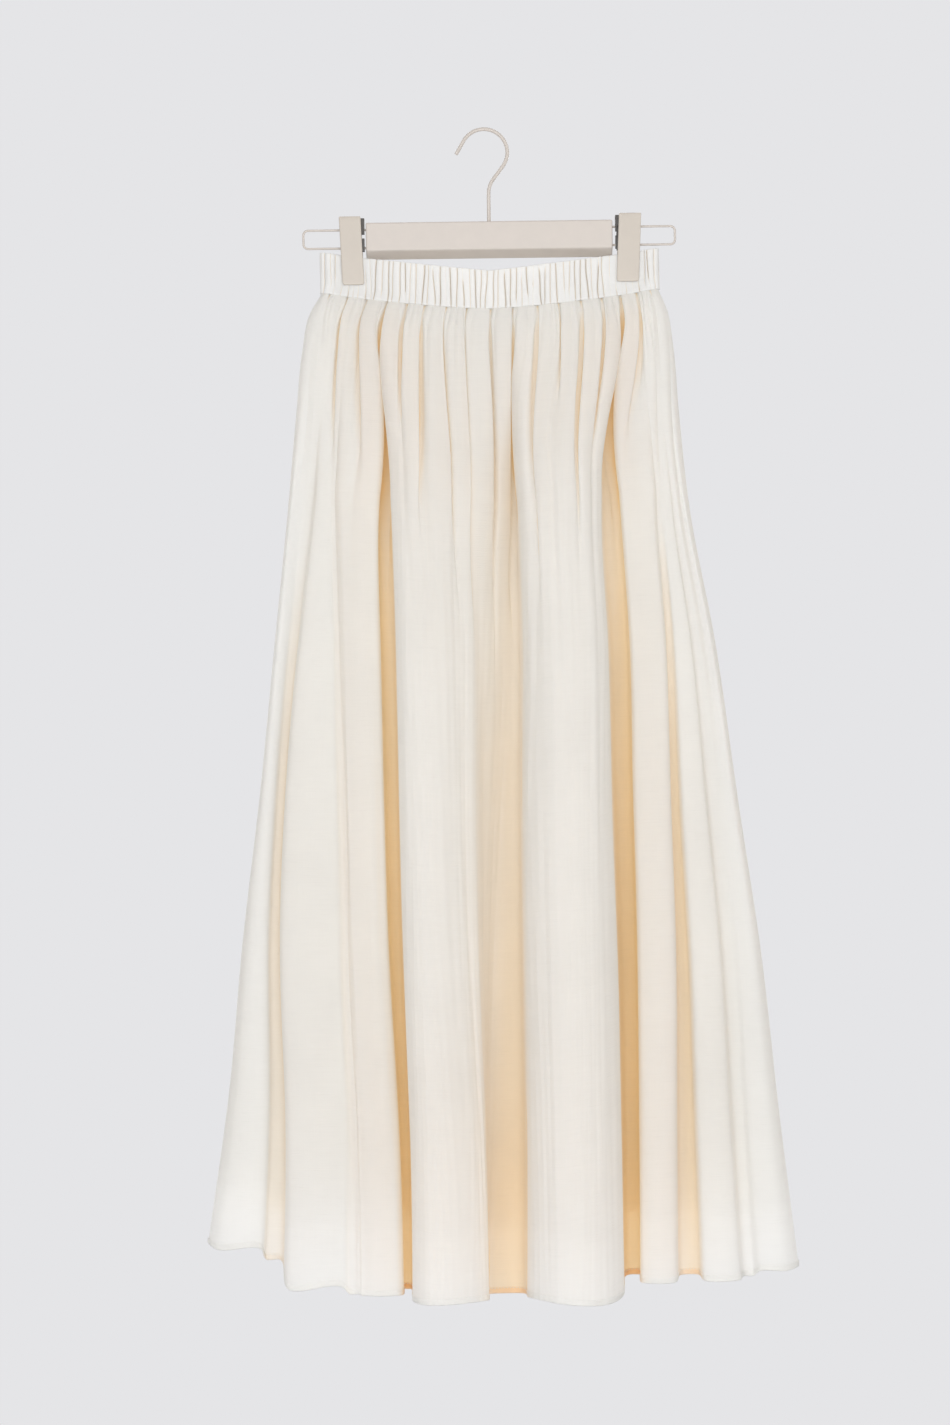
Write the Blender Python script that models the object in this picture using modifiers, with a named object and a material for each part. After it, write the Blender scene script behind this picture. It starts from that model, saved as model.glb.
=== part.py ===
"""A gathered maxi skirt with an elastic waistband and a lining, hanging from a clip hanger.

The world origin is the underside of the hook's top, where the hanger hangs. The front faces -Y and +Z is up.
Sizes are in millimetres: x from the middle of the hanger's bar, y from the hanger's plane, z from the origin.
Seen from above, every ring of cloth runs from the left side seam round the front to the right one, and back.
"""

from collections import namedtuple
import math

import bpy
import numpy as np

MM = 0.001
SEAM_GAP = 0.3
SHARP_ANGLE = math.radians(50.0)

# The hanger
BAR_MIDDLE_X = 4.0
BAR_LENGTH, BAR_DEPTH, BAR_HEIGHT, BAR_BEVEL = 234.0, 12.0, 26.6, 1.4
BAR_TOP_Z = -86.5
BAR_BACK_DROP = 7.5
HOOK_WIRE, HOOK_RADIUS = 3.8, 22.2
HOOK_LEAN, HOOK_OPEN = math.radians(37.0), math.radians(150.0)
HOOK_BEND, HOOK_TIP = 12.0, 14.0
BEND_STEPS, CURL_STEPS, CORNER_STEPS, SPRING_STEPS = 4, 18, 4, 8
WIRE_ROUNDNESS = 2
LOOP_WIRE, LOOP_REACH, LOOP_CORNER = 2.2, 176.5, 4.5
LOOP_TOP_Z, LOOP_BOTTOM_Z = -92.6, -109.9
CLIP_X, CLIP_WIDTH, CLIP_HEIGHT, CLIP_PLATE = 130.0, 24.0, 65.0, 1.4
CLIP_TOP_Z, CLIP_CORNER_TOP, CLIP_CORNER_BOTTOM = -80.3, 1.5, 5.0
GRIP = 4.2
SPRING_STRIP, SPRING_WIDTH, SPRING_END_Z = 0.8, 18.0, -114.5

# The waistband
BAND_WALL = 3.0
BAND_HALF_WIDTH = 160.0
BAND_GATHERS, BAND_STEPS = 86, 4
BAND_GATHER_HEIGHT, BAND_GATHER_HEIGHT_CLIPPED, CLIPPED_WIDTH = 0.9, 0.25, 18.0
BAND_ROWS = (0.0, 0.7, 1.0)
BAND_TOP_MIDDLE_Z, BAND_TOP_CLIP_RISE, BAND_TOP_CURVE = -134.0, 16.0, 1.15
BAND_SEAM_MIDDLE_Z, BAND_SEAM_END_RISE, BAND_SEAM_CURVE = -170.5, 17.5, 1.5

# Slow waves that move the band's gathers along it: how far, in gathers, and how often over its length
Wave = namedtuple("Wave", "size turns start")
UNEVENNESS = (Wave(0.34, 7, 0.8), Wave(0.22, 19, 2.1))

# The plan of the band's front half: its half depth at its top, where the clips pinch it, and at its seam
PlanRow = namedtuple("PlanRow", "x top seam")
BAND_PLAN = (
    PlanRow(157.0, 4.0, 5.6),
    PlanRow(150.0, 5.4, 8.4),
    PlanRow(142.5, 2.0, 6.7),
    PlanRow(130.0, 1.9, 6.2),
    PlanRow(117.5, 2.0, 6.8),
    PlanRow(107.0, 4.3, 8.1),
    PlanRow(95.0, 6.5, 9.4),
    PlanRow(60.0, 9.6, 11.2),
    PlanRow(22.0, 11.2, 12.0),
)

# The skirt: how far below the waist seam each ring lies, as a share of the length, with the side seams'
# places there, the puff of the cloth below the waist and the height of the gathers
Ring = namedtuple("Ring", "down left right puff gather")
RINGS = (
    Ring(0.00, -160.0, 160.0, 0.0, 1.4),
    Ring(0.02, -171.0, 168.0, 4.0, 3.2),
    Ring(0.06, -179.0, 174.0, 5.5, 3.9),
    Ring(0.12, -185.0, 178.0, 4.0, 3.2),
    Ring(0.22, -194.0, 187.0, 0.0, 1.9),
    Ring(0.36, -208.0, 210.0, 0.0, 0.8),
    Ring(0.52, -224.0, 229.5, 0.0, 0.3),
    Ring(0.68, -243.0, 250.0, 0.0, 0.0),
    Ring(0.84, -258.0, 265.0, 0.0, 0.0),
    Ring(1.00, -280.0, 282.0, 0.0, 0.0),
)
HIP, KNEE, HEM = 0.2, 0.5, 1.0
PANEL_WALL, LINING_WALL = 2.0, 1.2
FRONT_STEPS, BACK_STEPS = 108, 90
LEFT_SEAM_HEM_Z, RIGHT_SEAM_HEM_Z = -1054.0, -1083.0

# Where each gather's valley meets the waist seam, from the left side seam
FRONT_GATHERS = (0, 13, 27, 44, 64, 82, 103, 121, 141, 162, 184, 202, 226, 243, 265, 280, 297, 310, 321)
BACK_GATHERS = tuple(range(19))

# Each fold and each valley, from the left: the gathers it hangs from, its left and right edge at the hip, the
# knee and the hem, how far it stands out from the hanger's plane at those heights, and the height of its hem
Fold = namedtuple("Fold", "name gathers hip knee hem out hem_z")
FRONT_FOLDS = (
    Fold("left_panel", (0.25, 0.75), (-190, -182), (-220, -209), (-270, -229), (7, 11, 13), -1057),
    Fold("left_valley", (1.0, 1.2), (-177, -171), (-206, -201), (-225, -213), (7, 1, -3), -1070),
    Fold("outer_flute", (1.6, 2.1), (-166, -154), (-196, -151), (-203, -150), (13, 25, 31), -1091),
    Fold("outer_trough", (2.3, 2.5), (-152, -149), (-147, -143), (-145, -138), (12, 19, 25), -1097),
    Fold("inner_flute", (2.9, 3.5), (-144, -111), (-139, -108), (-132, -95), (19, 27, 32), -1098),
    Fold("left_deep_valley", (3.9, 4.1), (-106, -100), (-103, -97), (-94, -89), (-1, -4, -6), -1100),
    Fold("left_centre_flute", (4.5, 7.8), (-93, -25), (-90, -26), (-84, -15), (34, 50, 60), -1098),
    Fold("centre_valley", (9.8, 10.1), (17, 23), (7, 20), (-7, 17), (2, 4, 6), -1103),
    Fold("right_centre_flute", (10.6, 14.4), (29, 101), (26, 106), (24, 112), (34, 49, 58), -1096),
    Fold("right_deep_valley", (14.9, 15.1), (110, 118), (117, 125), (123, 130), (-1, -4, -6), -1089),
    Fold("inner_right_flute", (15.5, 16.0), (125, 151), (131, 161), (132, 162), (20, 33, 44), -1087),
    Fold("right_valley", (16.2, 16.4), (156, 159), (166, 171), (172, 186), (14, 10, 8), -1087),
    Fold("outer_right_flute", (16.6, 17.0), (162, 168), (175, 195), (191, 224), (14, 21, 28), -1089),
    Fold("right_trough", (17.2, 17.35), (171, 174), (201, 208), (232, 239), (12, 10, 4), -1090),
    Fold("right_panel", (17.55, 17.8), (177, 181), (213, 223), (245, 270), (8, 10, 12), -1084),
)
BACK_FOLDS = (
    Fold("left_side", (0.6, 2.6), (-176, -138), (-207, -160), (-260, -198), (24, 33, 42), -1066),
    Fold("left_valley", (3.3, 3.6), (-118, -109), (-136, -127), (-173, -162), (22, 29, 35), -1078),
    Fold("left_flute", (4.4, 6.4), (-98, -60), (-116, -71), (-146, -88), (34, 48, 60), -1090),
    Fold("inner_left_valley", (7.0, 7.3), (-45, -37), (-53, -44), (-67, -55), (22, 29, 35), -1095),
    Fold("centre_flute", (8.0, 10.2), (-23, 26), (-28, 31), (-36, 38), (35, 49, 64), -1101),
    Fold("inner_right_valley", (10.9, 11.2), (40, 48), (47, 56), (58, 70), (22, 29, 35), -1099),
    Fold("right_flute", (11.9, 13.8), (63, 102), (74, 120), (92, 150), (33, 47, 59), -1094),
    Fold("right_valley", (14.5, 14.8), (115, 124), (136, 146), (170, 181), (22, 28, 33), -1087),
    Fold("right_side", (15.5, 17.4), (137, 172), (162, 212), (202, 264), (23, 32, 40), -1084),
)
# Near the side seams, past this distance from the middle, the gathers flatten out over this width
FLATTER_FROM, FLATTER_OVER, FLATTER_BY = 142.0, 22.0, 0.92

# The lining is a plain flat tube hanging between the skirt's front and back valleys
LINING_FRONT_OUT, LINING_BACK_OUT = (-8.0, -9.5, -10.5), (17.0, 21.5, 26.0)
LINING_FRONT = (
    Fold("left_flat", (0.9, 4.4), (-169, -100), (-199, -120), (-254, -146), LINING_FRONT_OUT, -1076),
    Fold("middle_flat", (7.0, 11.0), (-34, 34), (-40, 40), (-50, 50), LINING_FRONT_OUT, -1100),
    Fold("right_flat", (13.6, 17.1), (98, 162), (120, 204), (146, 256), LINING_FRONT_OUT, -1090),
)
LINING_BACK = (
    Fold("left_flat", (0.9, 4.4), (-169, -100), (-199, -120), (-254, -146), LINING_BACK_OUT, -1076),
    Fold("middle_flat", (7.0, 11.0), (-34, 34), (-40, 40), (-50, 50), LINING_BACK_OUT, -1095),
    Fold("right_flat", (13.6, 17.1), (98, 162), (120, 204), (146, 256), LINING_BACK_OUT, -1090),
)
LINING_SEAM_OUT = (-12.5, -15.5, -18.3)
LINING_EASE, LINING_DRAW_IN = 3.5, 14.0
LINING_RINGS = (0.0, 0.02, 0.06, 0.12, 0.22, 0.5, 0.935)
LINING_LONGEST_STEP = 26.0

# Colours, as linear red, green and blue
CLOTH_COLOUR = (0.86, 0.80, 0.69, 1.0)
LINING_COLOUR = (0.88, 0.84, 0.76, 1.0)
PAINT_COLOUR = (0.64, 0.57, 0.49, 1.0)


def through(knots, values, at):
    """A smooth curve through the values at the knots, read at other places. Past its ends it is straight."""
    knots, values, at = (np.asarray(array, float) for array in (knots, values, at))
    values = values.reshape(len(knots), -1)
    steps = np.diff(knots)[:, None]
    slopes = np.diff(values, axis=0) / steps
    inner = (slopes[:-1] * steps[1:] + slopes[1:] * steps[:-1]) / (steps[:-1] + steps[1:])
    tangents = np.vstack([slopes[:1], inner, slopes[-1:]])
    index = np.clip(np.searchsorted(knots, at, side="right") - 1, 0, len(knots) - 2)
    step = steps[index]
    t = ((at - knots[index])[:, None] / step).clip(0.0, 1.0)
    before, after = values[index], values[index + 1]
    curve = (
        before * (1 + 2 * t) * (1 - t) ** 2
        + after * t * t * (3 - 2 * t)
        + step * (tangents[index] * t * (1 - t) ** 2 - tangents[index + 1] * t * t * (1 - t))
    )
    beyond = (at - np.clip(at, knots[0], knots[-1]))[:, None]
    return curve + beyond * tangents[np.where(at < knots[0], 0, -1)]


def round_closed(knots, values, at):
    """The same for a closed ring, whose knots run from 0 to just under 1."""
    knots, values = np.asarray(knots, float), np.asarray(values, float)
    around = np.concatenate([knots - 1, knots, knots + 1])
    return through(around, np.concatenate([values] * 3), np.mod(at, 1.0))


def outward_normals(ring):
    """The level normals of a closed ring of (x, y) points, facing out of it."""
    tangents = np.roll(ring, -1, axis=0) - np.roll(ring, 1, axis=0)
    tangents /= np.linalg.norm(tangents, axis=1, keepdims=True)
    return np.column_stack([tangents[:, 1], -tangents[:, 0]])


def ease(share):
    share = np.clip(share, 0.0, 1.0)
    return share * share * (3 - 2 * share)


def band_top_z(x):
    return BAND_TOP_MIDDLE_Z + BAND_TOP_CLIP_RISE * (np.abs(x) / CLIP_X) ** BAND_TOP_CURVE


def band_seam_z(x):
    return BAND_SEAM_MIDDLE_Z + BAND_SEAM_END_RISE * (np.abs(x) / BAND_HALF_WIDTH) ** BAND_SEAM_CURVE


def band_ring(opened, at):
    """The middle of the band's wall in plan, at shares of its length, from pinched (0) to its seam (1)."""
    front_left = [(-row.x, -(row.top + (row.seam - row.top) * opened)) for row in BAND_PLAN]
    front = front_left + [(-x, y) for x, y in reversed(front_left)]
    ends = ((-BAND_HALF_WIDTH, 0.0), (BAND_HALF_WIDTH, 0.0))
    corners = np.array([ends[0], *front, ends[1], *[(x, -y) for x, y in reversed(front)]])
    return round_closed(shares_of_length(corners), corners, at)


def band_gather_places():
    """Shares of the band's length at even steps of its uneven gathers, and each step counted in gathers."""
    steps = np.arange(BAND_GATHERS * BAND_STEPS) / BAND_STEPS
    share = np.linspace(0.0, 1.0, 6 * len(steps))
    moved = sum(wave.size * np.sin(2 * math.pi * wave.turns * share + wave.start) for wave in UNEVENNESS)
    counted = BAND_GATHERS * share + moved - moved[0]
    return np.interp(steps, counted, share), steps


def band_walls():
    """The band's outer wall with its gathers, and its plain inner wall, as rows of points going down."""
    share, steps = band_gather_places()
    outer, inner = [], []
    for row in BAND_ROWS:
        opened = ease((row - BAND_ROWS[1]) / (1 - BAND_ROWS[1]))
        ring = band_ring(opened, share)
        normals = outward_normals(ring)
        clipped = np.exp(-(((np.abs(ring[:, :1]) - CLIP_X) / CLIPPED_WIDTH) ** 6)) * (1 - opened)
        height = BAND_GATHER_HEIGHT + (BAND_GATHER_HEIGHT_CLIPPED - BAND_GATHER_HEIGHT) * clipped
        raised = height * 0.5 * (1 - np.cos(2 * math.pi * steps))[:, None]
        outward = BAND_WALL / 2 - height / 2 + raised
        for wall, moved in ((outer, outward), (inner, -BAND_WALL / 2)):
            points = ring + normals * moved
            z = band_top_z(points[:, :1]) * (1 - row) + band_seam_z(points[:, :1]) * row
            wall.append(np.hstack([points, z]))
    return np.array(outer), np.array(inner)


def fold_points(folds, gather_places, facing):
    """The edges of every fold of one panel, from left to right."""
    places = np.asarray(gather_places, float) / gather_places[-1]
    points = []
    for fold in folds:
        for edge in (0, 1):
            points.append({
                "gather": fold.gathers[edge],
                "share": np.interp(fold.gathers[edge], np.arange(len(places)), places),
                "x": (fold.hip[edge], fold.knee[edge], fold.hem[edge]),
                "y": tuple(facing * out for out in fold.out),
                "hem_z": fold.hem_z,
            })
    return points


def seam_point(gather, share, edges, out, hem_z):
    heights = [ring.down for ring in RINGS]
    x = np.interp([HIP, KNEE, HEM], heights, edges)
    return {"gather": gather, "share": share, "x": tuple(x), "y": tuple(-y for y in out), "hem_z": hem_z}


def ring_points(front_folds, back_folds, seam_out=(0.0, 0.0, 0.0)):
    """The edges of all folds in order round the ring, with their knots: half by waist, half by hem length."""
    front = fold_points(front_folds, FRONT_GATHERS, -1)
    back = fold_points(back_folds, BACK_GATHERS, 1)
    gathers = len(FRONT_GATHERS) - 1
    for point in back:
        point["gather"] = 2 * gathers - point["gather"]
        point["share"] = 1.0 - point["share"] / 2
    for point in front:
        point["share"] /= 2
    left = seam_point(0, 0.0, [ring.left for ring in RINGS], seam_out, LEFT_SEAM_HEM_Z)
    right = seam_point(gathers, 0.5, [ring.right for ring in RINGS], seam_out, RIGHT_SEAM_HEM_Z)
    points = [left, *front, right, *reversed(back)]
    for point, along in zip(points, shares_of_length(hem_plan(points))):
        point["knot"] = (point["share"] + along) / 2
    return points


def hem_plan(points):
    return np.array([(point["x"][2], point["y"][2]) for point in points])


def lengths_round(corners):
    return np.linalg.norm(np.roll(corners, -1, axis=0) - corners, axis=1)


def shares_of_length(corners):
    lengths = lengths_round(corners)
    return np.concatenate([[0.0], np.cumsum(lengths)[:-1]]) / lengths.sum()


def column(points, name):
    return np.array([point[name] for point in points])


def cloth_ring(points, at, down, inset):
    """The middle of the cloth's wall at one height, as (x, y) points, without its puff and gathers."""
    knots = column(points, "knot")
    waist_share = np.interp(at, np.append(knots, 1.0), np.append(column(points, "share"), 1.0))
    waist = band_ring(1.0, waist_share)
    stations = (HIP, KNEE, HEM)
    x = through(stations, column(points, "x").T, [max(down, HIP)])[0]
    y = through(stations, column(points, "y").T, [down])[0]
    folded = round_closed(knots, np.column_stack([x, y]), at)
    ring = waist + (folded - waist) * ease(down / HIP)
    left, right = ring_value(down, "left") + inset, ring_value(down, "right") - inset
    low, high = ring[:, 0].min(), ring[:, 0].max()
    along = (ring[:, 0] - low) / (high - low)
    ring[:, 0] += (left - low) * (1 - along) + (right - high) * along
    return ring


def ring_value(down, name):
    return np.interp(down, [row.down for row in RINGS], [getattr(row, name) for row in RINGS])


def skirt_ring(points, at, down):
    """The skirt's wall at one height, with its puff below the waist and its gathers."""
    knots = column(points, "knot")
    last_gather = 2 * len(FRONT_GATHERS) - 2
    gathers = np.interp(at, np.append(knots, 1.0), np.append(column(points, "gather"), last_gather))
    puff = ring_value(down, "puff")
    ring = cloth_ring(points, at, down, puff)
    flatter = 1 - FLATTER_BY * ease((np.abs(ring[:, :1]) - FLATTER_FROM) / FLATTER_OVER)
    wave = ring_value(down, "gather") * flatter * np.cos(2 * math.pi * gathers)[:, None]
    return ring + outward_normals(ring) * (puff - wave)


def lining_ring(points, at, down):
    """The lining's wall at one height: inside the band at the waist, and drawn in at the sides below."""
    lowered = ease(down / HIP)
    ring = cloth_ring(points, at, down, ring_value(down, "puff") + LINING_DRAW_IN * lowered)
    return ring - outward_normals(ring) * (LINING_EASE * (1 - lowered))


def cloth_walls(ring_at, points, at, heights, wall):
    """The outer and the inner wall of hanging cloth, as rows of (x, y, z) points from the waist seam down."""
    hem_z = round_closed(column(points, "knot"), column(points, "hem_z"), at)
    walls = ([], [])
    for down in heights:
        ring = ring_at(points, at, down)
        if down == 0.0:
            top_z = band_seam_z(ring[:, :1]) - SEAM_GAP
        normals = outward_normals(ring)
        z = top_z + (hem_z - top_z) * down
        for rows, moved in zip(walls, (wall / 2, -wall / 2)):
            placed = ring + normals * moved
            rows.append(np.hstack([placed, band_seam_z(placed[:, :1]) - SEAM_GAP if down == 0.0 else z]))
    return np.array(walls[0]), np.array(walls[1])


def lining_columns(points):
    """A column of the lining at each edge of a fold, and more between them where the cloth is wide."""
    knots = column(points, "knot")
    around = []
    for start, end, length in zip(knots, np.append(knots[1:], 1.0), lengths_round(hem_plan(points))):
        pieces = max(2, math.ceil(length / LINING_LONGEST_STEP))
        around += [start + (end - start) * piece / pieces for piece in range(pieces)]
    return np.array(around)


def add_material(name, colour, roughness, metallic=0.0):
    material = bpy.data.materials.new(name)
    material.use_nodes = True
    shader = material.node_tree.nodes["Principled BSDF"]
    shader.inputs["Base Color"].default_value = colour
    shader.inputs["Roughness"].default_value = roughness
    shader.inputs["Metallic"].default_value = metallic
    return material


def clear_scene():
    for thing in list(bpy.data.objects):
        bpy.data.objects.remove(thing, do_unlink=True)


def place(thing, collection, parent, material):
    collection.objects.link(thing)
    thing.parent = parent
    thing.data.materials.append(material)
    return thing


def wall_faces(middle, closed):
    """Triangles over both faces and all edges of a wall. Both faces of a cell have the same diagonal."""
    rows, columns = middle.shape[:2]
    inner = rows * columns
    faces = []
    for j in range(columns if closed else columns - 1):
        beside = (j + 1) % columns
        for i in range(rows - 1):
            a, d = i * columns + j, i * columns + beside
            b, c = a + columns, d + columns
            falling = np.linalg.norm(middle[i, j] - middle[i + 1, beside])
            rising = np.linalg.norm(middle[i + 1, j] - middle[i, beside])
            halves = ((a, b, c), (a, c, d)) if falling < rising else ((a, b, d), (b, c, d))
            for half in halves:
                faces += [half, tuple(inner + corner for corner in reversed(half))]
        last = (rows - 1) * columns
        faces += cut_in_two(j, beside, inner + beside, inner + j)
        faces += cut_in_two(last + j, inner + last + j, inner + last + beside, last + beside)
    if not closed:
        for i in range(rows - 1):
            start, end = i * columns, i * columns + columns - 1
            faces += cut_in_two(start, inner + start, inner + start + columns, start + columns)
            faces += cut_in_two(end, end + columns, inner + end + columns, inner + end)
    return faces


def cut_in_two(a, b, c, d):
    return [(a, b, c), (a, c, d)]


def wall_object(name, outer, inner, closed):
    points = np.concatenate([outer.reshape(-1, 3), inner.reshape(-1, 3)]) * MM
    mesh = bpy.data.meshes.new(name)
    mesh.from_pydata(points.tolist(), [], wall_faces((outer + inner) / 2, closed))
    mesh.shade_smooth()
    mesh.set_sharp_from_angle(angle=SHARP_ANGLE)
    return bpy.data.objects.new(name, mesh)


def add_waistband(collection, parent, cloth):
    place(wall_object("waistband", *band_walls(), True), collection, parent, cloth)


def add_panels(collection, parent, cloth):
    points = ring_points(FRONT_FOLDS, BACK_FOLDS)
    right_seam = column(points, "knot")[len(FRONT_FOLDS) * 2 + 1]
    around = np.concatenate([
        np.linspace(0.0, right_seam, FRONT_STEPS + 1)[:-1],
        np.linspace(right_seam, 1.0, BACK_STEPS + 1)[:-1],
    ])
    walls = cloth_walls(skirt_ring, points, around, [ring.down for ring in RINGS], PANEL_WALL)
    front = [wall[:, : FRONT_STEPS + 1].copy() for wall in walls]
    back = [np.concatenate([wall[:, FRONT_STEPS:], wall[:, :1]], axis=1) for wall in walls]
    for name, panel, side in (("skirt_front", front, -1), ("skirt_back", back, 1)):
        for wall in panel:
            wall[:, [0, -1], 1] += side * SEAM_GAP / 2
        place(wall_object(name, *panel, False), collection, parent, cloth)


def add_lining(collection, parent, cloth):
    points = ring_points(LINING_FRONT, LINING_BACK, LINING_SEAM_OUT)
    walls = cloth_walls(lining_ring, points, lining_columns(points), LINING_RINGS, LINING_WALL)
    place(wall_object("lining", *walls, True), collection, parent, cloth)


def arc_points(centre, radius, start, end, steps):
    angles = np.linspace(start, end, steps + 1)
    return [(centre[0] + radius * math.cos(a), centre[1] + radius * math.sin(a)) for a in angles]


def wire_object(name, route, diameter):
    """A round wire along (x, z) points in the hanger's plane."""
    curve = bpy.data.curves.new(name, "CURVE")
    curve.dimensions = "3D"
    curve.bevel_depth = diameter / 2 * MM
    curve.bevel_resolution = WIRE_ROUNDNESS
    curve.use_fill_caps = True
    spline = curve.splines.new("POLY")
    spline.points.add(len(route) - 1)
    for point, (x, z) in zip(spline.points, route):
        point.co = (x * MM, 0.0, z * MM, 1.0)
    return bpy.data.objects.new(name, curve)


def outline_object(name, outline, thickness):
    """A flat outline of (x, y) points, as a plate of this thickness about its own plane."""
    curve = bpy.data.curves.new(name, "CURVE")
    curve.dimensions = "2D"
    curve.fill_mode = "BOTH"
    curve.extrude = thickness / 2 * MM
    spline = curve.splines.new("POLY")
    spline.points.add(len(outline) - 1)
    for point, (x, y) in zip(spline.points, outline):
        point.co = (x * MM, y * MM, 0.0, 1.0)
    spline.use_cyclic_u = True
    return bpy.data.objects.new(name, curve)


def hook_route():
    """Up the shank, over a bend to the right, and round the circle to a straight tip."""
    shank_x = 0.0
    circle = (-BAR_MIDDLE_X, -(HOOK_RADIUS - HOOK_WIRE / 2))
    circle_start = (
        circle[0] + HOOK_RADIUS * math.cos(HOOK_LEAN),
        circle[1] - HOOK_RADIUS * math.sin(HOOK_LEAN),
    )
    bend_out = shank_x + HOOK_BEND * (1 - math.cos(HOOK_LEAN))
    straight = (circle_start[0] - bend_out) / math.sin(HOOK_LEAN)
    bend_z = circle_start[1] - straight * math.cos(HOOK_LEAN) - HOOK_BEND * math.sin(HOOK_LEAN)
    bend = arc_points((shank_x + HOOK_BEND, bend_z), HOOK_BEND, math.pi, math.pi - HOOK_LEAN, BEND_STEPS)
    curl = arc_points(circle, HOOK_RADIUS, -HOOK_LEAN, HOOK_OPEN, CURL_STEPS)
    tip = (
        curl[-1][0] - HOOK_TIP * math.sin(HOOK_OPEN),
        curl[-1][1] + HOOK_TIP * math.cos(HOOK_OPEN),
    )
    return [(shank_x, BAR_TOP_Z + SEAM_GAP), *bend, *curl, tip]


def loop_route(side):
    """Out of the bar's end along the top wire, round the end and back along the bottom wire."""
    start = BAR_LENGTH / 2 + SEAM_GAP
    corner_x = LOOP_REACH - LOOP_CORNER
    top = arc_points((corner_x, LOOP_TOP_Z - LOOP_CORNER), LOOP_CORNER, math.pi / 2, 0.0, CORNER_STEPS)
    bottom = arc_points((corner_x, LOOP_BOTTOM_Z + LOOP_CORNER), LOOP_CORNER, 0.0, -math.pi / 2, CORNER_STEPS)
    route = [(start, LOOP_TOP_Z), *top, *bottom, (start, LOOP_BOTTOM_Z)]
    return [(side * x, z) for x, z in route]


def clip_outline():
    half, low = CLIP_WIDTH / 2, -CLIP_HEIGHT
    corners = (
        (half - CLIP_CORNER_TOP, -CLIP_CORNER_TOP, CLIP_CORNER_TOP, 0.0),
        (-half + CLIP_CORNER_TOP, -CLIP_CORNER_TOP, CLIP_CORNER_TOP, 0.5),
        (-half + CLIP_CORNER_BOTTOM, low + CLIP_CORNER_BOTTOM, CLIP_CORNER_BOTTOM, 1.0),
        (half - CLIP_CORNER_BOTTOM, low + CLIP_CORNER_BOTTOM, CLIP_CORNER_BOTTOM, 1.5),
    )
    outline = []
    for x, y, radius, turn in corners:
        outline += arc_points((x, y), radius, turn * math.pi, (turn + 0.5) * math.pi, CORNER_STEPS)
    return outline


def spring_outline():
    """The clip's spring from the side: a strip bent over the top wire, its two legs behind the plates."""
    outer = GRIP - SEAM_GAP
    inner = outer - SPRING_STRIP
    centre = (0.0, LOOP_TOP_Z + LOOP_WIRE / 2 + SEAM_GAP - inner)
    over = arc_points(centre, outer, 0.0, math.pi, SPRING_STEPS)
    under = arc_points(centre, inner, math.pi, 0.0, SPRING_STEPS)
    ends = [(place, SPRING_END_Z) for place in (outer, -outer, -inner, inner)]
    return [ends[0], *over, ends[1], ends[2], *under, ends[3]]


def add_bar(collection, parent, paint):
    """The bar, a block whose underside slants down to its back."""
    bpy.ops.mesh.primitive_cube_add(size=1.0)
    bar = bpy.context.object
    bar.name = "hanger_bar"
    for owner in list(bar.users_collection):
        owner.objects.unlink(bar)
    size = np.array([BAR_LENGTH, BAR_DEPTH, BAR_HEIGHT]) * MM
    for vertex in bar.data.vertices:
        low_at_back = vertex.co.y > 0 > vertex.co.z
        vertex.co = [part * length for part, length in zip(vertex.co, size)]
        if low_at_back:
            vertex.co.z -= BAR_BACK_DROP * MM
    place(bar, collection, parent, paint)
    bar.location = (0.0, 0.0, (BAR_TOP_Z - BAR_HEIGHT / 2) * MM)
    bevel = bar.modifiers.new("Edges", "BEVEL")
    bevel.width = BAR_BEVEL * MM
    bevel.segments = 2
    bar.data.shade_smooth()
    bar.data.set_sharp_from_angle(angle=SHARP_ANGLE)


def add_wires(collection, parent, paint):
    place(wire_object("hanger_hook", hook_route(), HOOK_WIRE), collection, parent, paint)
    for name, side in (("wire_loop_left", -1), ("wire_loop_right", 1)):
        place(wire_object(name, loop_route(side), LOOP_WIRE), collection, parent, paint)


def add_clips(collection, parent, paint):
    for side_name, side in (("left", -1), ("right", 1)):
        for face_name, face in (("front", -1), ("back", 1)):
            name = f"clip_{side_name}_{face_name}_plate"
            plate = place(outline_object(name, clip_outline(), CLIP_PLATE), collection, parent, paint)
            plate.rotation_euler = (math.pi / 2, 0.0, 0.0)
            plate.location = (side * CLIP_X * MM, face * (GRIP + CLIP_PLATE / 2) * MM, CLIP_TOP_Z * MM)
        name = f"clip_{side_name}_spring"
        spring = place(outline_object(name, spring_outline(), SPRING_WIDTH), collection, parent, paint)
        spring.rotation_euler = (math.pi / 2, 0.0, math.pi / 2)
        spring.location = (side * CLIP_X * MM, 0.0, 0.0)


def main():
    clear_scene()
    collection = bpy.data.collections.new("maxi_skirt_on_hanger")
    bpy.context.scene.collection.children.link(collection)
    middle = bpy.data.objects.new("hanger_middle", None)
    collection.objects.link(middle)
    middle.location = (BAR_MIDDLE_X * MM, 0.0, 0.0)
    cloth = add_material("ivory_cloth", CLOTH_COLOUR, 0.8)
    lining_cloth = add_material("lining_cloth", LINING_COLOUR, 0.7)
    paint = add_material("beige_paint", PAINT_COLOUR, 0.45)
    add_waistband(collection, middle, cloth)
    add_panels(collection, middle, cloth)
    add_lining(collection, middle, lining_cloth)
    add_bar(collection, middle, paint)
    add_wires(collection, middle, paint)
    add_clips(collection, middle, paint)


main()
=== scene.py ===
"""The looks of a gathered maxi skirt on a clip hanger: fine cloth over the solids' folds, and satin paint.

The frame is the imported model's, with its origin under the hook's top, its front facing -Y and +Z up.
Tables are in millimetres: x from the middle of the bar, y from the hanger's plane, z from the origin.
Seen from above, every ring of cloth runs from the left side seam round the front to the right one, and back.
"""

from collections import namedtuple
import math

import bpy
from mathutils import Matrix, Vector
import numpy as np


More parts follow.
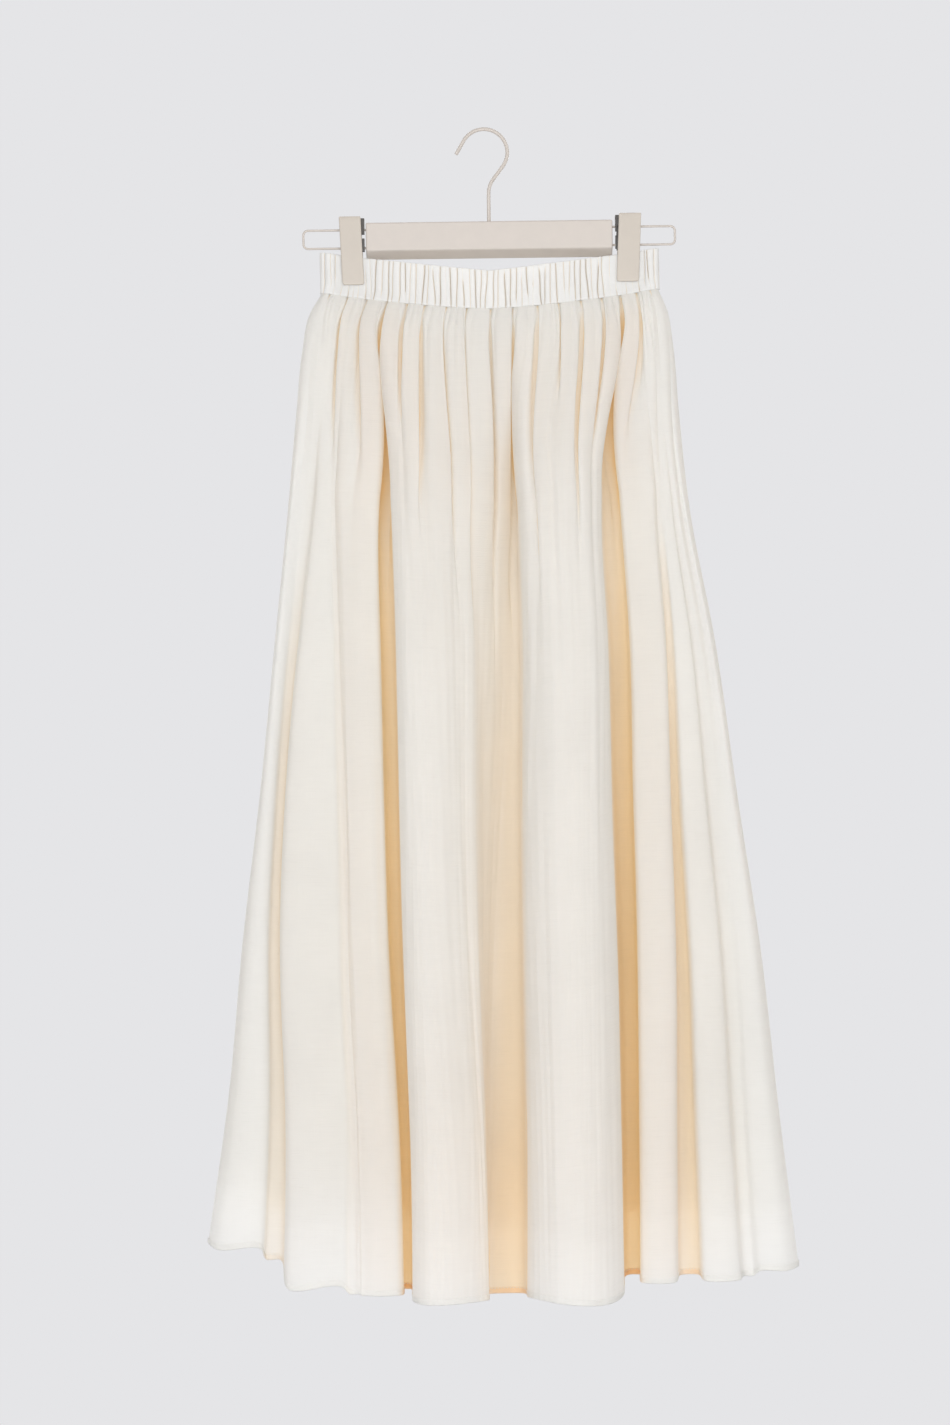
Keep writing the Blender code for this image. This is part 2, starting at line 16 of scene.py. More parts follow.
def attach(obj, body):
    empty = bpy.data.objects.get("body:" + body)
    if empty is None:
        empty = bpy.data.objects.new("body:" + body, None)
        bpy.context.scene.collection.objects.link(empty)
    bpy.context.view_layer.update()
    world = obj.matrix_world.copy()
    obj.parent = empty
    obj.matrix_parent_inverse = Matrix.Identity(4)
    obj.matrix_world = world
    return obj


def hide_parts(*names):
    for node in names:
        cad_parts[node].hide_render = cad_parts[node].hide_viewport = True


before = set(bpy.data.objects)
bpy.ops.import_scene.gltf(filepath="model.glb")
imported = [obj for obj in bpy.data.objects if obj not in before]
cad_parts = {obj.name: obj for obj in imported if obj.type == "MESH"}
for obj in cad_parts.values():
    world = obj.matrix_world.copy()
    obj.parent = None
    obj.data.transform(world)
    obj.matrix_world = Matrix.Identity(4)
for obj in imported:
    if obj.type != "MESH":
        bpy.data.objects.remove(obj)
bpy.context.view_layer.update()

MM = 0.001
BAR_MIDDLE_X = 4.0

# The waistband
BAND_WALL = 2.6
BAND_HALF_WIDTH = 160.0
BAND_GATHERS, BAND_STEPS = 118, 12
PlanRow = namedtuple("PlanRow", "x top seam")
BAND_PLAN = [PlanRow(*row) for row in (
    (157.0, 4.0, 5.6),
    (150.0, 5.4, 8.4),
    (142.5, 2.0, 6.7),
    (130.0, 1.9, 6.2),
    (117.5, 2.0, 6.8),
    (107.0, 4.3, 8.1),
    (95.0, 6.5, 9.4),
    (60.0, 9.6, 11.2),
    (22.0, 11.2, 12.0),
)]
CLIP_X, CLIPPED_WIDTH = 130.0, 18.0

# The skirt's rings, as shares of its length below the waist seam
Ring = namedtuple("Ring", "down left right puff")
RINGS = [Ring(*row) for row in (
    (0.00, -160.0, 160.0, 0.0),
    (0.02, -171.0, 168.0, 4.0),
    (0.06, -179.0, 174.0, 5.5),
    (0.12, -185.0, 178.0, 4.0),
    (0.22, -194.0, 187.0, 0.0),
    (0.36, -208.0, 210.0, 0.0),
    (0.52, -224.0, 229.5, 0.0),
    (0.68, -243.0, 250.0, 0.0),
    (0.84, -258.0, 265.0, 0.0),
    (1.00, -280.0, 282.0, 0.0),
)]
HIP, KNEE, HEM = 0.2, 0.5, 1.0
LEFT_SEAM_HEM_Z, RIGHT_SEAM_HEM_Z = -1054.0, -1083.0
FRONT_GATHERS = (0, 13, 27, 44, 64, 82, 103, 121, 141, 162, 184, 202, 226, 243, 265, 280, 297, 310, 321)
BACK_GATHERS = tuple(range(19))

Fold = namedtuple("Fold", "name gathers hip knee hem out hem_z")
FRONT_FOLDS = [Fold(*row) for row in (
    ("left_panel", (0.25, 0.75), (-190, -182), (-220, -209), (-270, -229), (7, 11, 13), -1057),
    ("left_valley", (1.0, 1.2), (-177, -171), (-206, -201), (-225, -213), (7, 1, -3), -1070),
    ("outer_flute", (1.6, 2.1), (-166, -154), (-196, -151), (-203, -150), (13, 25, 31), -1091),
    ("outer_trough", (2.3, 2.5), (-152, -149), (-147, -143), (-145, -138), (12.5, 21.5, 28.5), -1097),
    ("inner_flute", (2.9, 3.5), (-144, -111), (-139, -108), (-132, -95), (19, 27, 32), -1098),
    ("left_deep_valley", (3.9, 4.1), (-106, -100), (-103, -97), (-94, -89), (-1, -4, -6), -1100),
    ("left_centre_flute", (4.5, 7.8), (-93, -25), (-90, -26), (-84, -15), (34, 50, 60), -1098),
    ("centre_valley", (9.8, 10.1), (17, 23), (7, 20), (-7, 17), (2, 4, 6), -1103),
    ("right_centre_flute", (10.6, 14.4), (29, 101), (26, 106), (24, 112), (34, 49, 58), -1096),
    ("right_deep_valley", (14.9, 15.1), (110, 118), (117, 125), (123, 130), (-1, -4, -6), -1089),
    ("inner_right_flute", (15.5, 16.0), (125, 151), (131, 161), (132, 162), (20, 33, 44), -1087),
    ("right_valley", (16.2, 16.4), (156, 159), (166, 171), (172, 186), (14, 10, 8), -1087),
    ("outer_right_flute", (16.6, 17.0), (162, 168), (175, 195), (191, 224), (14, 21, 28), -1089),
    ("right_trough", (17.2, 17.35), (171, 174), (201, 208), (232, 239), (12, 10, 4), -1090),
    ("right_panel", (17.55, 17.8), (177, 181), (213, 223), (245, 270), (8, 10, 12), -1084),
)]
BACK_FOLDS = [Fold(*row) for row in (
    ("left_side", (0.6, 2.6), (-176, -138), (-207, -160), (-260, -198), (24, 33, 42), -1066),
    ("left_valley", (3.3, 3.6), (-118, -109), (-136, -127), (-173, -162), (22, 29, 35), -1078),
    ("left_flute", (4.4, 6.4), (-98, -60), (-116, -71), (-146, -88), (34, 48, 60), -1090),
    ("inner_left_valley", (7.0, 7.3), (-45, -37), (-53, -44), (-67, -55), (22, 29, 35), -1095),
    ("centre_flute", (8.0, 10.2), (-23, 26), (-28, 31), (-36, 38), (35, 49, 64), -1101),
    ("inner_right_valley", (10.9, 11.2), (40, 48), (47, 56), (58, 70), (22, 29, 35), -1099),
    ("right_flute", (11.9, 13.8), (63, 102), (74, 120), (92, 150), (33, 47, 59), -1094),
    ("right_valley", (14.5, 14.8), (115, 124), (136, 146), (170, 181), (22, 28, 33), -1087),
    ("right_side", (15.5, 17.4), (137, 172), (162, 212), (202, 264), (23, 32, 40), -1084),
)]
FLATTER_FROM, FLATTER_OVER, FLATTER_BY = 142.0, 22.0, 0.92

LINING_FLATS = (
    ("left_flat", (0.9, 4.4), (-169, -100), (-199, -120), (-254, -146)),
    ("middle_flat", (7.0, 11.0), (-34, 34), (-40, 40), (-50, 50)),
    ("right_flat", (13.6, 17.1), (98, 162), (120, 204), (146, 256)),
)
LINING_FRONT, LINING_BACK = (
    [Fold(*flat, out, hem_z) for flat, hem_z in zip(LINING_FLATS, hems)]
    for out, hems in (((-8, -9.5, -10.5), (-1076, -1100, -1090)), ((17, 21.5, 26), (-1076, -1095, -1090)))
)
LINING_SEAM_OUT = (-12.5, -15.5, -18.3)
LINING_EASE, LINING_DRAW_IN = 3.5, 14.0
LINING_END = 0.935

# Soft creases that run down from the gathers: the gather each follows and how far it drifts, as shares of the
# length where it starts and ends, its depth (a ridge if negative) and its half width in gathers
Crease = namedtuple("Crease", "gather drift start end depth width")
FRONT_CREASES = [Crease(*row) for row in (
    (0.55, 0.1, 0.02, 0.45, 0.7, 0.14),
    (1.45, 0.2, 0.02, 0.60, 0.9, 0.15),
    (2.15, 0.1, 0.10, 0.85, 0.9, 0.12),
    (3.15, -0.1, 0.03, 0.40, 1.4, 0.10),
    (3.35, 0.1, 0.30, 0.95, 1.0, 0.09),
    (4.95, 0.5, 0.02, 0.34, 1.8, 0.16),
    (5.55, -0.2, 0.20, 0.75, 1.1, 0.20),
    (6.05, 0.4, 0.02, 0.42, 2.0, 0.17),
    (6.70, 0.3, 0.10, 0.55, -1.2, 0.22),
    (7.05, 0.5, 0.02, 0.30, 1.9, 0.15),
    (7.55, 0.2, 0.35, 1.00, 1.3, 0.18),
    (8.05, 0.6, 0.02, 0.62, 1.5, 0.26),
    (8.75, 0.1, 0.36, 0.80, 1.9, 0.18),
    (9.05, -0.2, 0.02, 0.40, 1.3, 0.22),
    (10.95, 0.2, 0.02, 0.36, 2.0, 0.16),
    (11.45, -0.3, 0.12, 0.60, 1.2, 0.20),
    (12.00, 0.3, 0.02, 0.46, 2.1, 0.18),
    (12.65, -0.2, 0.30, 0.90, 1.1, 0.26),
    (13.05, 0.2, 0.02, 0.33, 1.8, 0.16),
    (13.60, -0.1, 0.15, 0.70, -1.2, 0.20),
    (14.05, -0.2, 0.02, 0.38, 1.7, 0.15),
    (15.75, 0.1, 0.06, 0.66, 0.9, 0.14),
    (16.80, 0.1, 0.20, 0.95, 0.7, 0.14),
    (17.60, 0.1, 0.10, 0.85, 0.6, 0.13),
)]
BACK_CREASES = [Crease(*row) for row in (
    (19.3, 0.1, 0.03, 0.55, 1.2, 0.12),
    (20.6, -0.2, 0.05, 0.80, 1.5, 0.15),
    (22.1, 0.2, 0.02, 0.40, 1.8, 0.16),
    (23.4, -0.2, 0.15, 0.75, 1.2, 0.20),
    (24.0, 0.3, 0.02, 0.35, 2.0, 0.16),
    (25.9, -0.3, 0.02, 0.45, 2.0, 0.18),
    (27.2, 0.2, 0.20, 0.85, 1.3, 0.20),
    (28.0, 0.3, 0.02, 0.38, 1.9, 0.16),
    (29.9, -0.2, 0.02, 0.50, 1.8, 0.18),
    (31.1, 0.3, 0.10, 0.70, 1.4, 0.18),
    (32.6, 0.2, 0.02, 0.42, 1.6, 0.15),
    (34.3, -0.2, 0.05, 0.75, 1.4, 0.16),
    (35.2, 0.1, 0.02, 0.50, 1.1, 0.10),
)]

# Each gather's valley at the waist, from the left side seam round: its depth as a share of the usual one, the
# share of the length where it has gone, how far it wanders to the right by then, how far its bottom lies
# under the ridge on its right (its left if negative), and how wide its floor is, the last three in gathers
Valley = namedtuple("Valley", "depth length drift under wide")
FRONT_VALLEYS = [Valley(*row) for row in (
    (0.35, 0.10, 0.00, 0.00, 0.04),
    (1.10, 0.50, -0.05, -0.20, 0.18),
    (1.15, 0.22, -0.10, 0.18, 0.20),
    (1.00, 0.24, 0.12, 0.20, 0.14),
    (1.60, 0.36, -0.05, 0.16, 0.34),
    (0.85, 0.17, -0.12, 0.10, 0.26),
    (0.95, 0.30, 0.10, -0.18, 0.24),
    (0.75, 0.36, 0.50, -0.14, 0.10),
    (0.90, 0.36, 0.15, -0.18, 0.12),
    (1.05, 0.42, 0.22, -0.10, 0.20),
    (1.15, 0.38, 0.00, -0.18, 0.20),
    (0.95, 0.36, 0.45, 0.12, 0.28),
    (0.65, 0.13, 0.25, 0.12, 0.10),
    (0.90, 0.30, 0.20, 0.14, 0.26),
    (0.80, 0.20, -0.05, 0.10, 0.20),
    (1.60, 0.32, 0.00, 0.12, 0.42),
    (0.85, 0.19, -0.35, -0.10, 0.26),
    (1.00, 0.12, 0.15, -0.12, 0.08),
    (0.35, 0.10, 0.00, 0.00, 0.04),
)]
BACK_VALLEYS = [Valley(*row) for row in (
    (0.90, 0.22, 0.10, 0.12, 0.18),
    (1.20, 0.45, -0.10, -0.18, 0.24),
    (0.70, 0.14, 0.20, 0.10, 0.08),
    (1.10, 0.34, 0.00, 0.16, 0.20),
    (1.35, 0.50, 0.10, -0.12, 0.30),
    (0.80, 0.18, -0.25, 0.12, 0.14),
    (1.00, 0.40, 0.35, 0.18, 0.18),
    (1.25, 0.50, -0.05, -0.16, 0.26),
    (0.65, 0.15, 0.15, 0.00, 0.10),
    (1.05, 0.28, -0.20, 0.14, 0.22),
    (1.40, 0.48, 0.05, 0.12, 0.30),
    (0.85, 0.20, 0.10, -0.14, 0.12),
    (0.75, 0.33, -0.40, 0.10, 0.10),
    (1.20, 0.44, 0.00, -0.20, 0.24),
    (0.90, 0.16, 0.20, 0.10, 0.16),
    (1.15, 0.38, -0.10, 0.16, 0.22),
    (0.80, 0.24, 0.05, -0.10, 0.14),
)]
VALLEYS = FRONT_VALLEYS + BACK_VALLEYS

# How finely the cloth is drawn
FRONT_COLUMNS, BACK_COLUMNS, LINING_COLUMNS = 820, 600, 300
SKIRT_HEIGHTS = np.concatenate([
    np.linspace(0.0, 0.05, 15)[:-1], np.linspace(0.05, 0.24, 32)[:-1], np.linspace(0.24, 1.0, 66),
])
LINING_HEIGHTS = np.concatenate([np.linspace(0.0, 0.2, 24)[:-1], np.linspace(0.2, LINING_END, 36)])


def through(knots, values, at):
    """A smooth curve through values at knots, read at other places. It goes straight on past the ends."""
    knots, values, at = (np.asarray(array, float) for array in (knots, values, at))
    values = values.reshape(len(knots), -1)
    steps = np.diff(knots)[:, None]
    slopes = np.diff(values, axis=0) / steps
    inner = (slopes[:-1] * steps[1:] + slopes[1:] * steps[:-1]) / (steps[:-1] + steps[1:])
    tangents = np.vstack([slopes[:1], inner, slopes[-1:]])
    index = np.clip(np.searchsorted(knots, at, side="right") - 1, 0, len(knots) - 2)
    step = steps[index]
    t = ((at - knots[index])[:, None] / step).clip(0.0, 1.0)
    before, after = values[index], values[index + 1]
    curve = (
        before * (1 + 2 * t) * (1 - t) ** 2
        + after * t * t * (3 - 2 * t)
        + step * (tangents[index] * t * (1 - t) ** 2 - tangents[index + 1] * t * t * (1 - t))
    )
    beyond = (at - np.clip(at, knots[0], knots[-1]))[:, None]
    return curve + beyond * tangents[np.where(at < knots[0], 0, -1)]


def round_closed(knots, values, at):
    """The same for a closed ring, whose knots run from 0 to just under 1."""
    knots, values = np.asarray(knots, float), np.asarray(values, float)
    around = np.concatenate([knots - 1, knots, knots + 1])
    return through(around, np.concatenate([values] * 3), np.mod(at, 1.0))


def outward_normals(ring):
    """The level normals of a closed ring of (x, y) points, facing out of it."""
    tangents = np.roll(ring, -1, axis=0) - np.roll(ring, 1, axis=0)
    tangents /= np.linalg.norm(tangents, axis=1, keepdims=True)
    return np.column_stack([tangents[:, 1], -tangents[:, 0]])


def ease(share):
    share = np.clip(share, 0.0, 1.0)
    return share * share * (3 - 2 * share)


def band_top_z(x):
    return -134.0 + 16.0 * (np.abs(x) / 130.0) ** 1.15


def band_seam_z(x):
    return -170.5 + 17.5 * (np.abs(x) / BAND_HALF_WIDTH) ** 1.5


def lengths_round(corners):
    return np.linalg.norm(np.roll(corners, -1, axis=0) - corners, axis=1)


def shares_of_length(corners):
    lengths = lengths_round(corners)
    return np.concatenate([[0.0], np.cumsum(lengths)[:-1]]) / lengths.sum()


def band_ring(opened, at):
    """The middle of the band's wall in plan, at shares of its length, from pinched (0) to its seam (1)."""
    front_left = [(-row.x, -(row.top + (row.seam - row.top) * opened)) for row in BAND_PLAN]
    front = front_left + [(-x, y) for x, y in reversed(front_left)]
    ends = ((-BAND_HALF_WIDTH, 0.0), (BAND_HALF_WIDTH, 0.0))
    corners = np.array([ends[0], *front, ends[1], *[(x, -y) for x, y in reversed(front)]])
    return round_closed(shares_of_length(corners), corners, at)


def fold_points(folds, gather_places, facing):
    """The edges of every fold of one panel, from left to right."""
    places = np.asarray(gather_places, float) / gather_places[-1]
    points = []
    for fold in folds:
        for edge in (0, 1):
            points.append({
                "gather": fold.gathers[edge],
                "share": np.interp(fold.gathers[edge], np.arange(len(places)), places),
                "x": (fold.hip[edge], fold.knee[edge], fold.hem[edge]),
                "y": tuple(facing * out for out in fold.out),
                "hem_z": fold.hem_z,
            })
    return points


def seam_point(gather, share, side, out, hem_z):
    x = np.interp([HIP, KNEE, HEM], [ring.down for ring in RINGS], [getattr(ring, side) for ring in RINGS])
    return {"gather": gather, "share": share, "x": tuple(x), "y": tuple(-y for y in out), "hem_z": hem_z}


def ring_points(front_folds, back_folds, seam_out=(0.0, 0.0, 0.0)):
    """The edges of all folds in order round the ring, with their knots: half by waist, half by hem length."""
    front = fold_points(front_folds, FRONT_GATHERS, -1)
    back = fold_points(back_folds, BACK_GATHERS, 1)
    gathers = len(FRONT_GATHERS) - 1
    for point in back:
        point["gather"] = 2 * gathers - point["gather"]
        point["share"] = 1.0 - point["share"] / 2
    for point in front:
        point["share"] /= 2
    left = seam_point(0, 0.0, "left", seam_out, LEFT_SEAM_HEM_Z)
    right = seam_point(gathers, 0.5, "right", seam_out, RIGHT_SEAM_HEM_Z)
    points = [left, *front, right, *reversed(back)]
    hem = np.array([(point["x"][2], point["y"][2]) for point in points])
    for point, along in zip(points, shares_of_length(hem)):
        point["knot"] = (point["share"] + along) / 2
    return points


def column(points, name):
    return np.array([point[name] for point in points])


def read_round(points, name, at, end):
    """A value of the points read straight between them, round the ring."""
    return np.interp(at, np.append(column(points, "knot"), 1.0), np.append(column(points, name), end))


def ring_value(down, name):
    return through([row.down for row in RINGS], [getattr(row, name) for row in RINGS], [down])[0, 0]


def cloth_ring(points, at, down, inset):
    """The middle of the cloth's wall at one height, as (x, y) points, without its puff and gathers."""
    waist = band_ring(1.0, read_round(points, "share", at, 1.0))
    stations = (HIP, KNEE, HEM)
    x = through(stations, column(points, "x").T, [max(down, HIP)])[0]
    y = through(stations, column(points, "y").T, [down])[0]
    folded = round_closed(column(points, "knot"), np.column_stack([x, y]), at)
    ring = waist + (folded - waist) * ease(down / HIP)
    left, right = ring_value(down, "left") + inset, ring_value(down, "right") - inset
    low, high = ring[:, 0].min(), ring[:, 0].max()
    along = (ring[:, 0] - low) / (high - low)
    ring[:, 0] += (left - low) * (1 - along) + (right - high) * along
    return ring


def wander(at, turns, seed):
    """A smooth seeded value between about -1 and 1 that changes along at, this many times over its length."""
    generator = np.random.default_rng(seed)
    total = 0.0
    for part, height in enumerate((0.55, 0.3, 0.15)):
        turned = turns * (0.6 + 0.45 * part) * at + generator.random()
        total = total + np.sin(2 * math.pi * turned) * height
    return total


def crease_depths(gathers, down, creases):
    """How far the listed creases press the cloth in, at one height."""
    total = np.zeros_like(gathers)
    for crease in creases:
        along = (down - crease.start) / (crease.end - crease.start)
        if not 0.0 < along < 1.0:
            continue
        window = ease(along / 0.18) * ease((1.0 - along) / 0.55)
        centre = crease.gather + crease.drift * along
        total += crease.depth * window * np.exp(-(((gathers - centre) / crease.width) ** 2))
    return total


# The gathers' usual depth, how far their ridges lean out over the valleys, and the reach of a valley's push
VALLEY_DEPTH, RIDGE_LEAN, PUSH_REACH = 5.2, 0.14, 0.18
# The finer gathers between them, which fade within centimetres, and the holes where the seam pinches them
SECOND_GATHERS, SECOND_DEPTH, SECOND_LENGTH = 2.7, 2.7, 0.06
PINCH_DEPTH, PINCH_WIDTH, PINCH_LENGTH = 1.6, 0.07, 0.007
# A ridge's roundness, and how far it stands out and the cloth lies in, as shares of the depth at its valleys
DOME_POWER, DOME_HEIGHT, DOME_SINK = 0.72, 1.6, 1.05
# A valley this deep leans and is pushed in full
FULL_DEPTH = 3.0


def valley_lines(down):
    """Each valley round the closed ring at one height: where it is, in gathers, its depth, push and floor."""
    depth, length, drift, under, wide = (
        np.array([getattr(valley, name) for valley in VALLEYS]) for name in Valley._fields
    )
    centres = np.arange(len(VALLEYS)) + drift * ease(down / length)
    grown = 0.4 + 0.6 * ease(down / 0.035)
    left = grown * (1 - ease((down - 0.3 * length) / (0.7 * length)))
    around = np.append(centres, len(VALLEYS) + centres[0])
    return [around] + [np.append(row, row[0]) for row in (VALLEY_DEPTH * depth * left, under, wide * left)]


def pinched(gathers, down):
    """How near each point is to a hole of the waist seam, 0 to 1."""
    nearest = np.abs(gathers - np.round(gathers))
    return np.exp(-((nearest / PINCH_WIDTH) ** 2)) * math.exp(-((down / PINCH_LENGTH) ** 2))


def gather_wave(gathers, down, seed):
    """The gathers at one height: how far they stand out of the cloth, and how far they lean along it."""
    turn = gathers / len(VALLEYS)
    centres, depths, unders, floors = valley_lines(down)
    at = np.mod(gathers + 0.05 * wander(turn, 17, seed + 2) * math.sin(7.0 * down), len(VALLEYS))
    left = np.clip(np.searchsorted(centres, at, side="right") - 1, 0, len(VALLEYS) - 1)
    right = left + 1
    width = centres[right] - centres[left]
    between = (at - centres[left]) / width
    mixed = ease(between)
    walls = width - (floors[left] + floors[right]) / 2
    over = ((at - centres[left] - floors[left] / 2) / walls).clip(0.0, 1.0)
    depth = depths[left] * (1 - mixed) + depths[right] * mixed
    dome = (1 - (2 * over - 1) ** 2).clip(0.0) ** DOME_POWER
    strength = np.minimum(depth / FULL_DEPTH, 1.2)
    lean = -RIDGE_LEAN * np.sin(2 * math.pi * over) * strength
    for valley, distance in ((left, between * width), (right, (1 - between) * width)):
        pushed = unders[valley] * np.minimum(depths[valley] / FULL_DEPTH, 1.0)
        lean = lean + pushed * np.exp(-((distance / PUSH_REACH) ** 2))
    second = math.pi * (SECOND_GATHERS * gathers + 0.9 * wander(turn, 27, seed + 3))
    reach = SECOND_LENGTH * (1 + 0.7 * wander(turn, 41, seed))
    fine = SECOND_DEPTH * (np.abs(np.sin(second)) ** 0.7 - 0.6)
    fine = fine * np.exp(-((down / reach) ** 2)) * ease(down / 0.004)
    return depth * (DOME_HEIGHT * dome - DOME_SINK) + fine - PINCH_DEPTH * pinched(gathers, down), lean


# Fine long wrinkles over the whole cloth: their turns round the skirt, lean down its length, and height
Wrinkle = namedtuple("Wrinkle", "turns lean height")
WRINKLES = (Wrinkle(63, 1.9, 0.30), Wrinkle(97, -2.6, 0.26), Wrinkle(139, 3.7, 0.17))


def wrinkled(turn, down):
    """The height of the fine wrinkles, which come and go round the skirt and down its length."""
    total = 0.0
    for row, wrinkle in enumerate(WRINKLES):
        drifting = wander(turn + 0.11 * down, 9 + 4 * row, 40 + row)
        patches = 0.5 + 0.5 * drifting * math.cos(5.0 * down + 2.0 * row)
        bent = turn + 0.012 * wander(turn, 13, 50 + row) * math.sin(4.0 * down + row)
        ripples = np.sin(2 * math.pi * (wrinkle.turns * bent + wrinkle.lean * down))
        total = total + wrinkle.height * patches * ripples
    return total * ease(down / 0.25)


# The groove at each side seam, its half width in gathers
GROOVE_DEPTH, GROOVE_WIDTH = 0.7, 0.03
# Gathers are leaned along the cloth by shares of the length that one takes there, up to this length
PITCH_LIMIT = 24.0


def skirt_ring(points, at, down):
    """The skirt's cloth at one height, with its puff, gathers, creases and the groove at each side seam."""
    gathers = read_round(points, "gather", at, len(VALLEYS))
    puff = ring_value(down, "puff")
    ring = cloth_ring(points, at, down, puff)
    flatter = 1 - FLATTER_BY * ease((np.abs(ring[:, 0]) - FLATTER_FROM) / FLATTER_OVER)
    wave, lean = gather_wave(gathers, down, 4)
    turn = gathers / len(VALLEYS)
    soft = 0.7 * wander(turn, 44, 8) + 0.6 * wander(turn + 0.03 * down, 29, 9)
    wave = wave + soft * ease(down / 0.1) * (1.0 - 0.5 * ease((down - 0.3) / 0.7))
    wave = wave - crease_depths(gathers, down, FRONT_CREASES + BACK_CREASES) + wrinkled(turn, down)
    from_seam = np.abs(gathers[:, None] - np.array([0, len(FRONT_GATHERS) - 1, len(VALLEYS)])).min(axis=1)
    groove = GROOVE_DEPTH * np.exp(-((from_seam / GROOVE_WIDTH) ** 2))
    normals = outward_normals(ring)
    tangents = np.column_stack([-normals[:, 1], normals[:, 0]])
    passed = np.abs(np.diff(gathers, append=gathers[:1] + len(VALLEYS)))
    pitch = np.minimum(lengths_round(ring) / np.maximum(passed, 1e-4), PITCH_LIMIT)
    moved = puff + wave * flatter - groove
    return ring + normals * moved[:, None] + tangents * (lean * pitch * flatter)[:, None]


def lining_ring(points, at, down):
    """The lining at one height: inside the band's seam at the waist, and drawn in at the sides below."""
    lowered = ease(down / HIP)
    ring = cloth_ring(points, at, down, ring_value(down, "puff") + LINING_DRAW_IN * lowered)
    soft = 0.9 * wander(at, 37, 11) + 0.6 * wander(at + 0.02 * down, 61, 12)
    return ring - outward_normals(ring) * (LINING_EASE * (1 - lowered) + soft[:, None] * lowered)


def cloth_rows(ring_at, points, at, heights):
    """Rows of (x, y, z) points down the cloth, with the level normal at each."""
    hem_z = round_closed(column(points, "knot"), column(points, "hem_z"), at)[:, 0]
    rows, normals = [], []
    for down in heights:
        ring = ring_at(points, at, down)
        if down == 0.0:
            top_z = band_seam_z(ring[:, 0])
        rows.append(np.column_stack([ring, top_z + (hem_z - top_z) * down]))
        normals.append(outward_normals(ring))
    return np.array(rows), np.array(normals)


# How many rows and columns the painted shade in the folds is worked out for, and how far sideways it looks
SHADE_ROW_STEP, SHADE_COLUMN_STEP, SHADE_REACH, SHADE_BLUR = 3, 2, 90.0, 1.5
# It fades over this many gathers beside the side seams, which stand free at the edges
FREE_EDGE = 1.6
# The painted shade is lighter down the left wall of the front's wide centre valley, round this gather, as if
# light reached further in
LIT_VALLEY, LIT_REACH, LIT_BY = 9.1, 0.7, 0.25


def horizon(row):
    """How deep each point of a panel's row lies between parts that stand out more on both sides, 0 to 1."""
    across = row[:, 0][None, :] - row[:, 0][:, None]
    out = np.abs(row[:, 1])
    rise = np.where(np.abs(across) < SHADE_REACH, out[None, :] - out[:, None], 0.0)
    angles = np.arctan2(np.maximum(rise, 0.0), np.abs(across) + SHADE_BLUR)
    left, right = (np.where(side, angles, 0.0).max(axis=1) for side in (across < 0, across > 0))
    return np.sqrt(left * right) / (math.pi / 2)


def fold_shade(panel):
    """The same for every point of a panel, worked out on a coarser grid."""
    rows, columns = panel.shape[:2]
    some_rows = np.unique(np.append(np.arange(0, rows, SHADE_ROW_STEP), rows - 1))
    some_columns = np.unique(np.append(np.arange(0, columns, SHADE_COLUMN_STEP), columns - 1))
    coarse = np.array([horizon(panel[i, some_columns, :2]) for i in some_rows])
    wide = np.array([np.interp(np.arange(columns), some_columns, row) for row in coarse])
    return np.array([np.interp(np.arange(rows), some_rows, line) for line in wide.T]).T


def add_object(name, data):
    made = bpy.data.objects.new(name, data)
    bpy.context.scene.collection.objects.link(made)
    return made


def finish_piece(name, points, faces, material, stands_for=None, values=None):
    """A smooth piece on the skirt's body. Point values come with a map, for rows of points down a cloth."""
    mesh = bpy.data.meshes.new(name)
    world = (np.array(points).reshape(-1, 3) + np.array([BAR_MIDDLE_X, 0.0, 0.0])) * MM
    mesh.from_pydata(world.tolist(), [], faces)
    if values:
        layer = mesh.uv_layers.new(name="cloth")
        corners = np.empty(len(mesh.loops), dtype=np.int64)
        mesh.loops.foreach_get("vertex_index", corners)
        layer.data.foreach_set("uv", cloth_map(points)[corners].astype(np.float32).ravel())
        for key, value in values.items():
            attribute = mesh.attributes.new(key, "FLOAT", "POINT")
            attribute.data.foreach_set("value", np.asarray(value, np.float32).ravel())
    mesh.shade_smooth()
    mesh.materials.append(material)
    piece = add_object(name, mesh)
    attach(piece, "root")
    if stands_for:
        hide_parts(stands_for)
    return piece


def grid_faces(rows, closed=False):
    """Quads over a grid of points whose rows run down and columns run round, facing out."""
    count = len(rows[0])
    faces = []
    for i in range(len(rows) - 1):
        for j in range(count if closed else count - 1):
            beside = (j + 1) % count
            faces.append((i * count + j, (i + 1) * count + j, (i + 1) * count + beside, i * count + beside))
    return faces


def closed_tube(rows):
    """The faces of a tube and its ends, facing out if its rows run anticlockwise seen from the last one."""
    count, last = len(rows[0]), (len(rows) - 1) * len(rows[0])
    around = [face[:1] + face[:0:-1] for face in grid_faces(rows, closed=True)]
    return [*around, tuple(reversed(range(count))), tuple(range(last, last + count))]


def closed_round(array):
    """The columns of an array with the first one added again at the end."""
    return np.concatenate([array, array[:, :1]], axis=1)


def cloth_map(rows):
    """A map in metres: along the cloth at its hem, and down from its seam."""
    along = np.concatenate([[0.0], np.cumsum(np.linalg.norm(np.diff(rows[-1], axis=0), axis=1))])
    down = rows[0, :, 2][None, :] - rows[:, :, 2]
    return np.stack([np.broadcast_to(along, down.shape), down], axis=-1).reshape(-1, 2) * MM


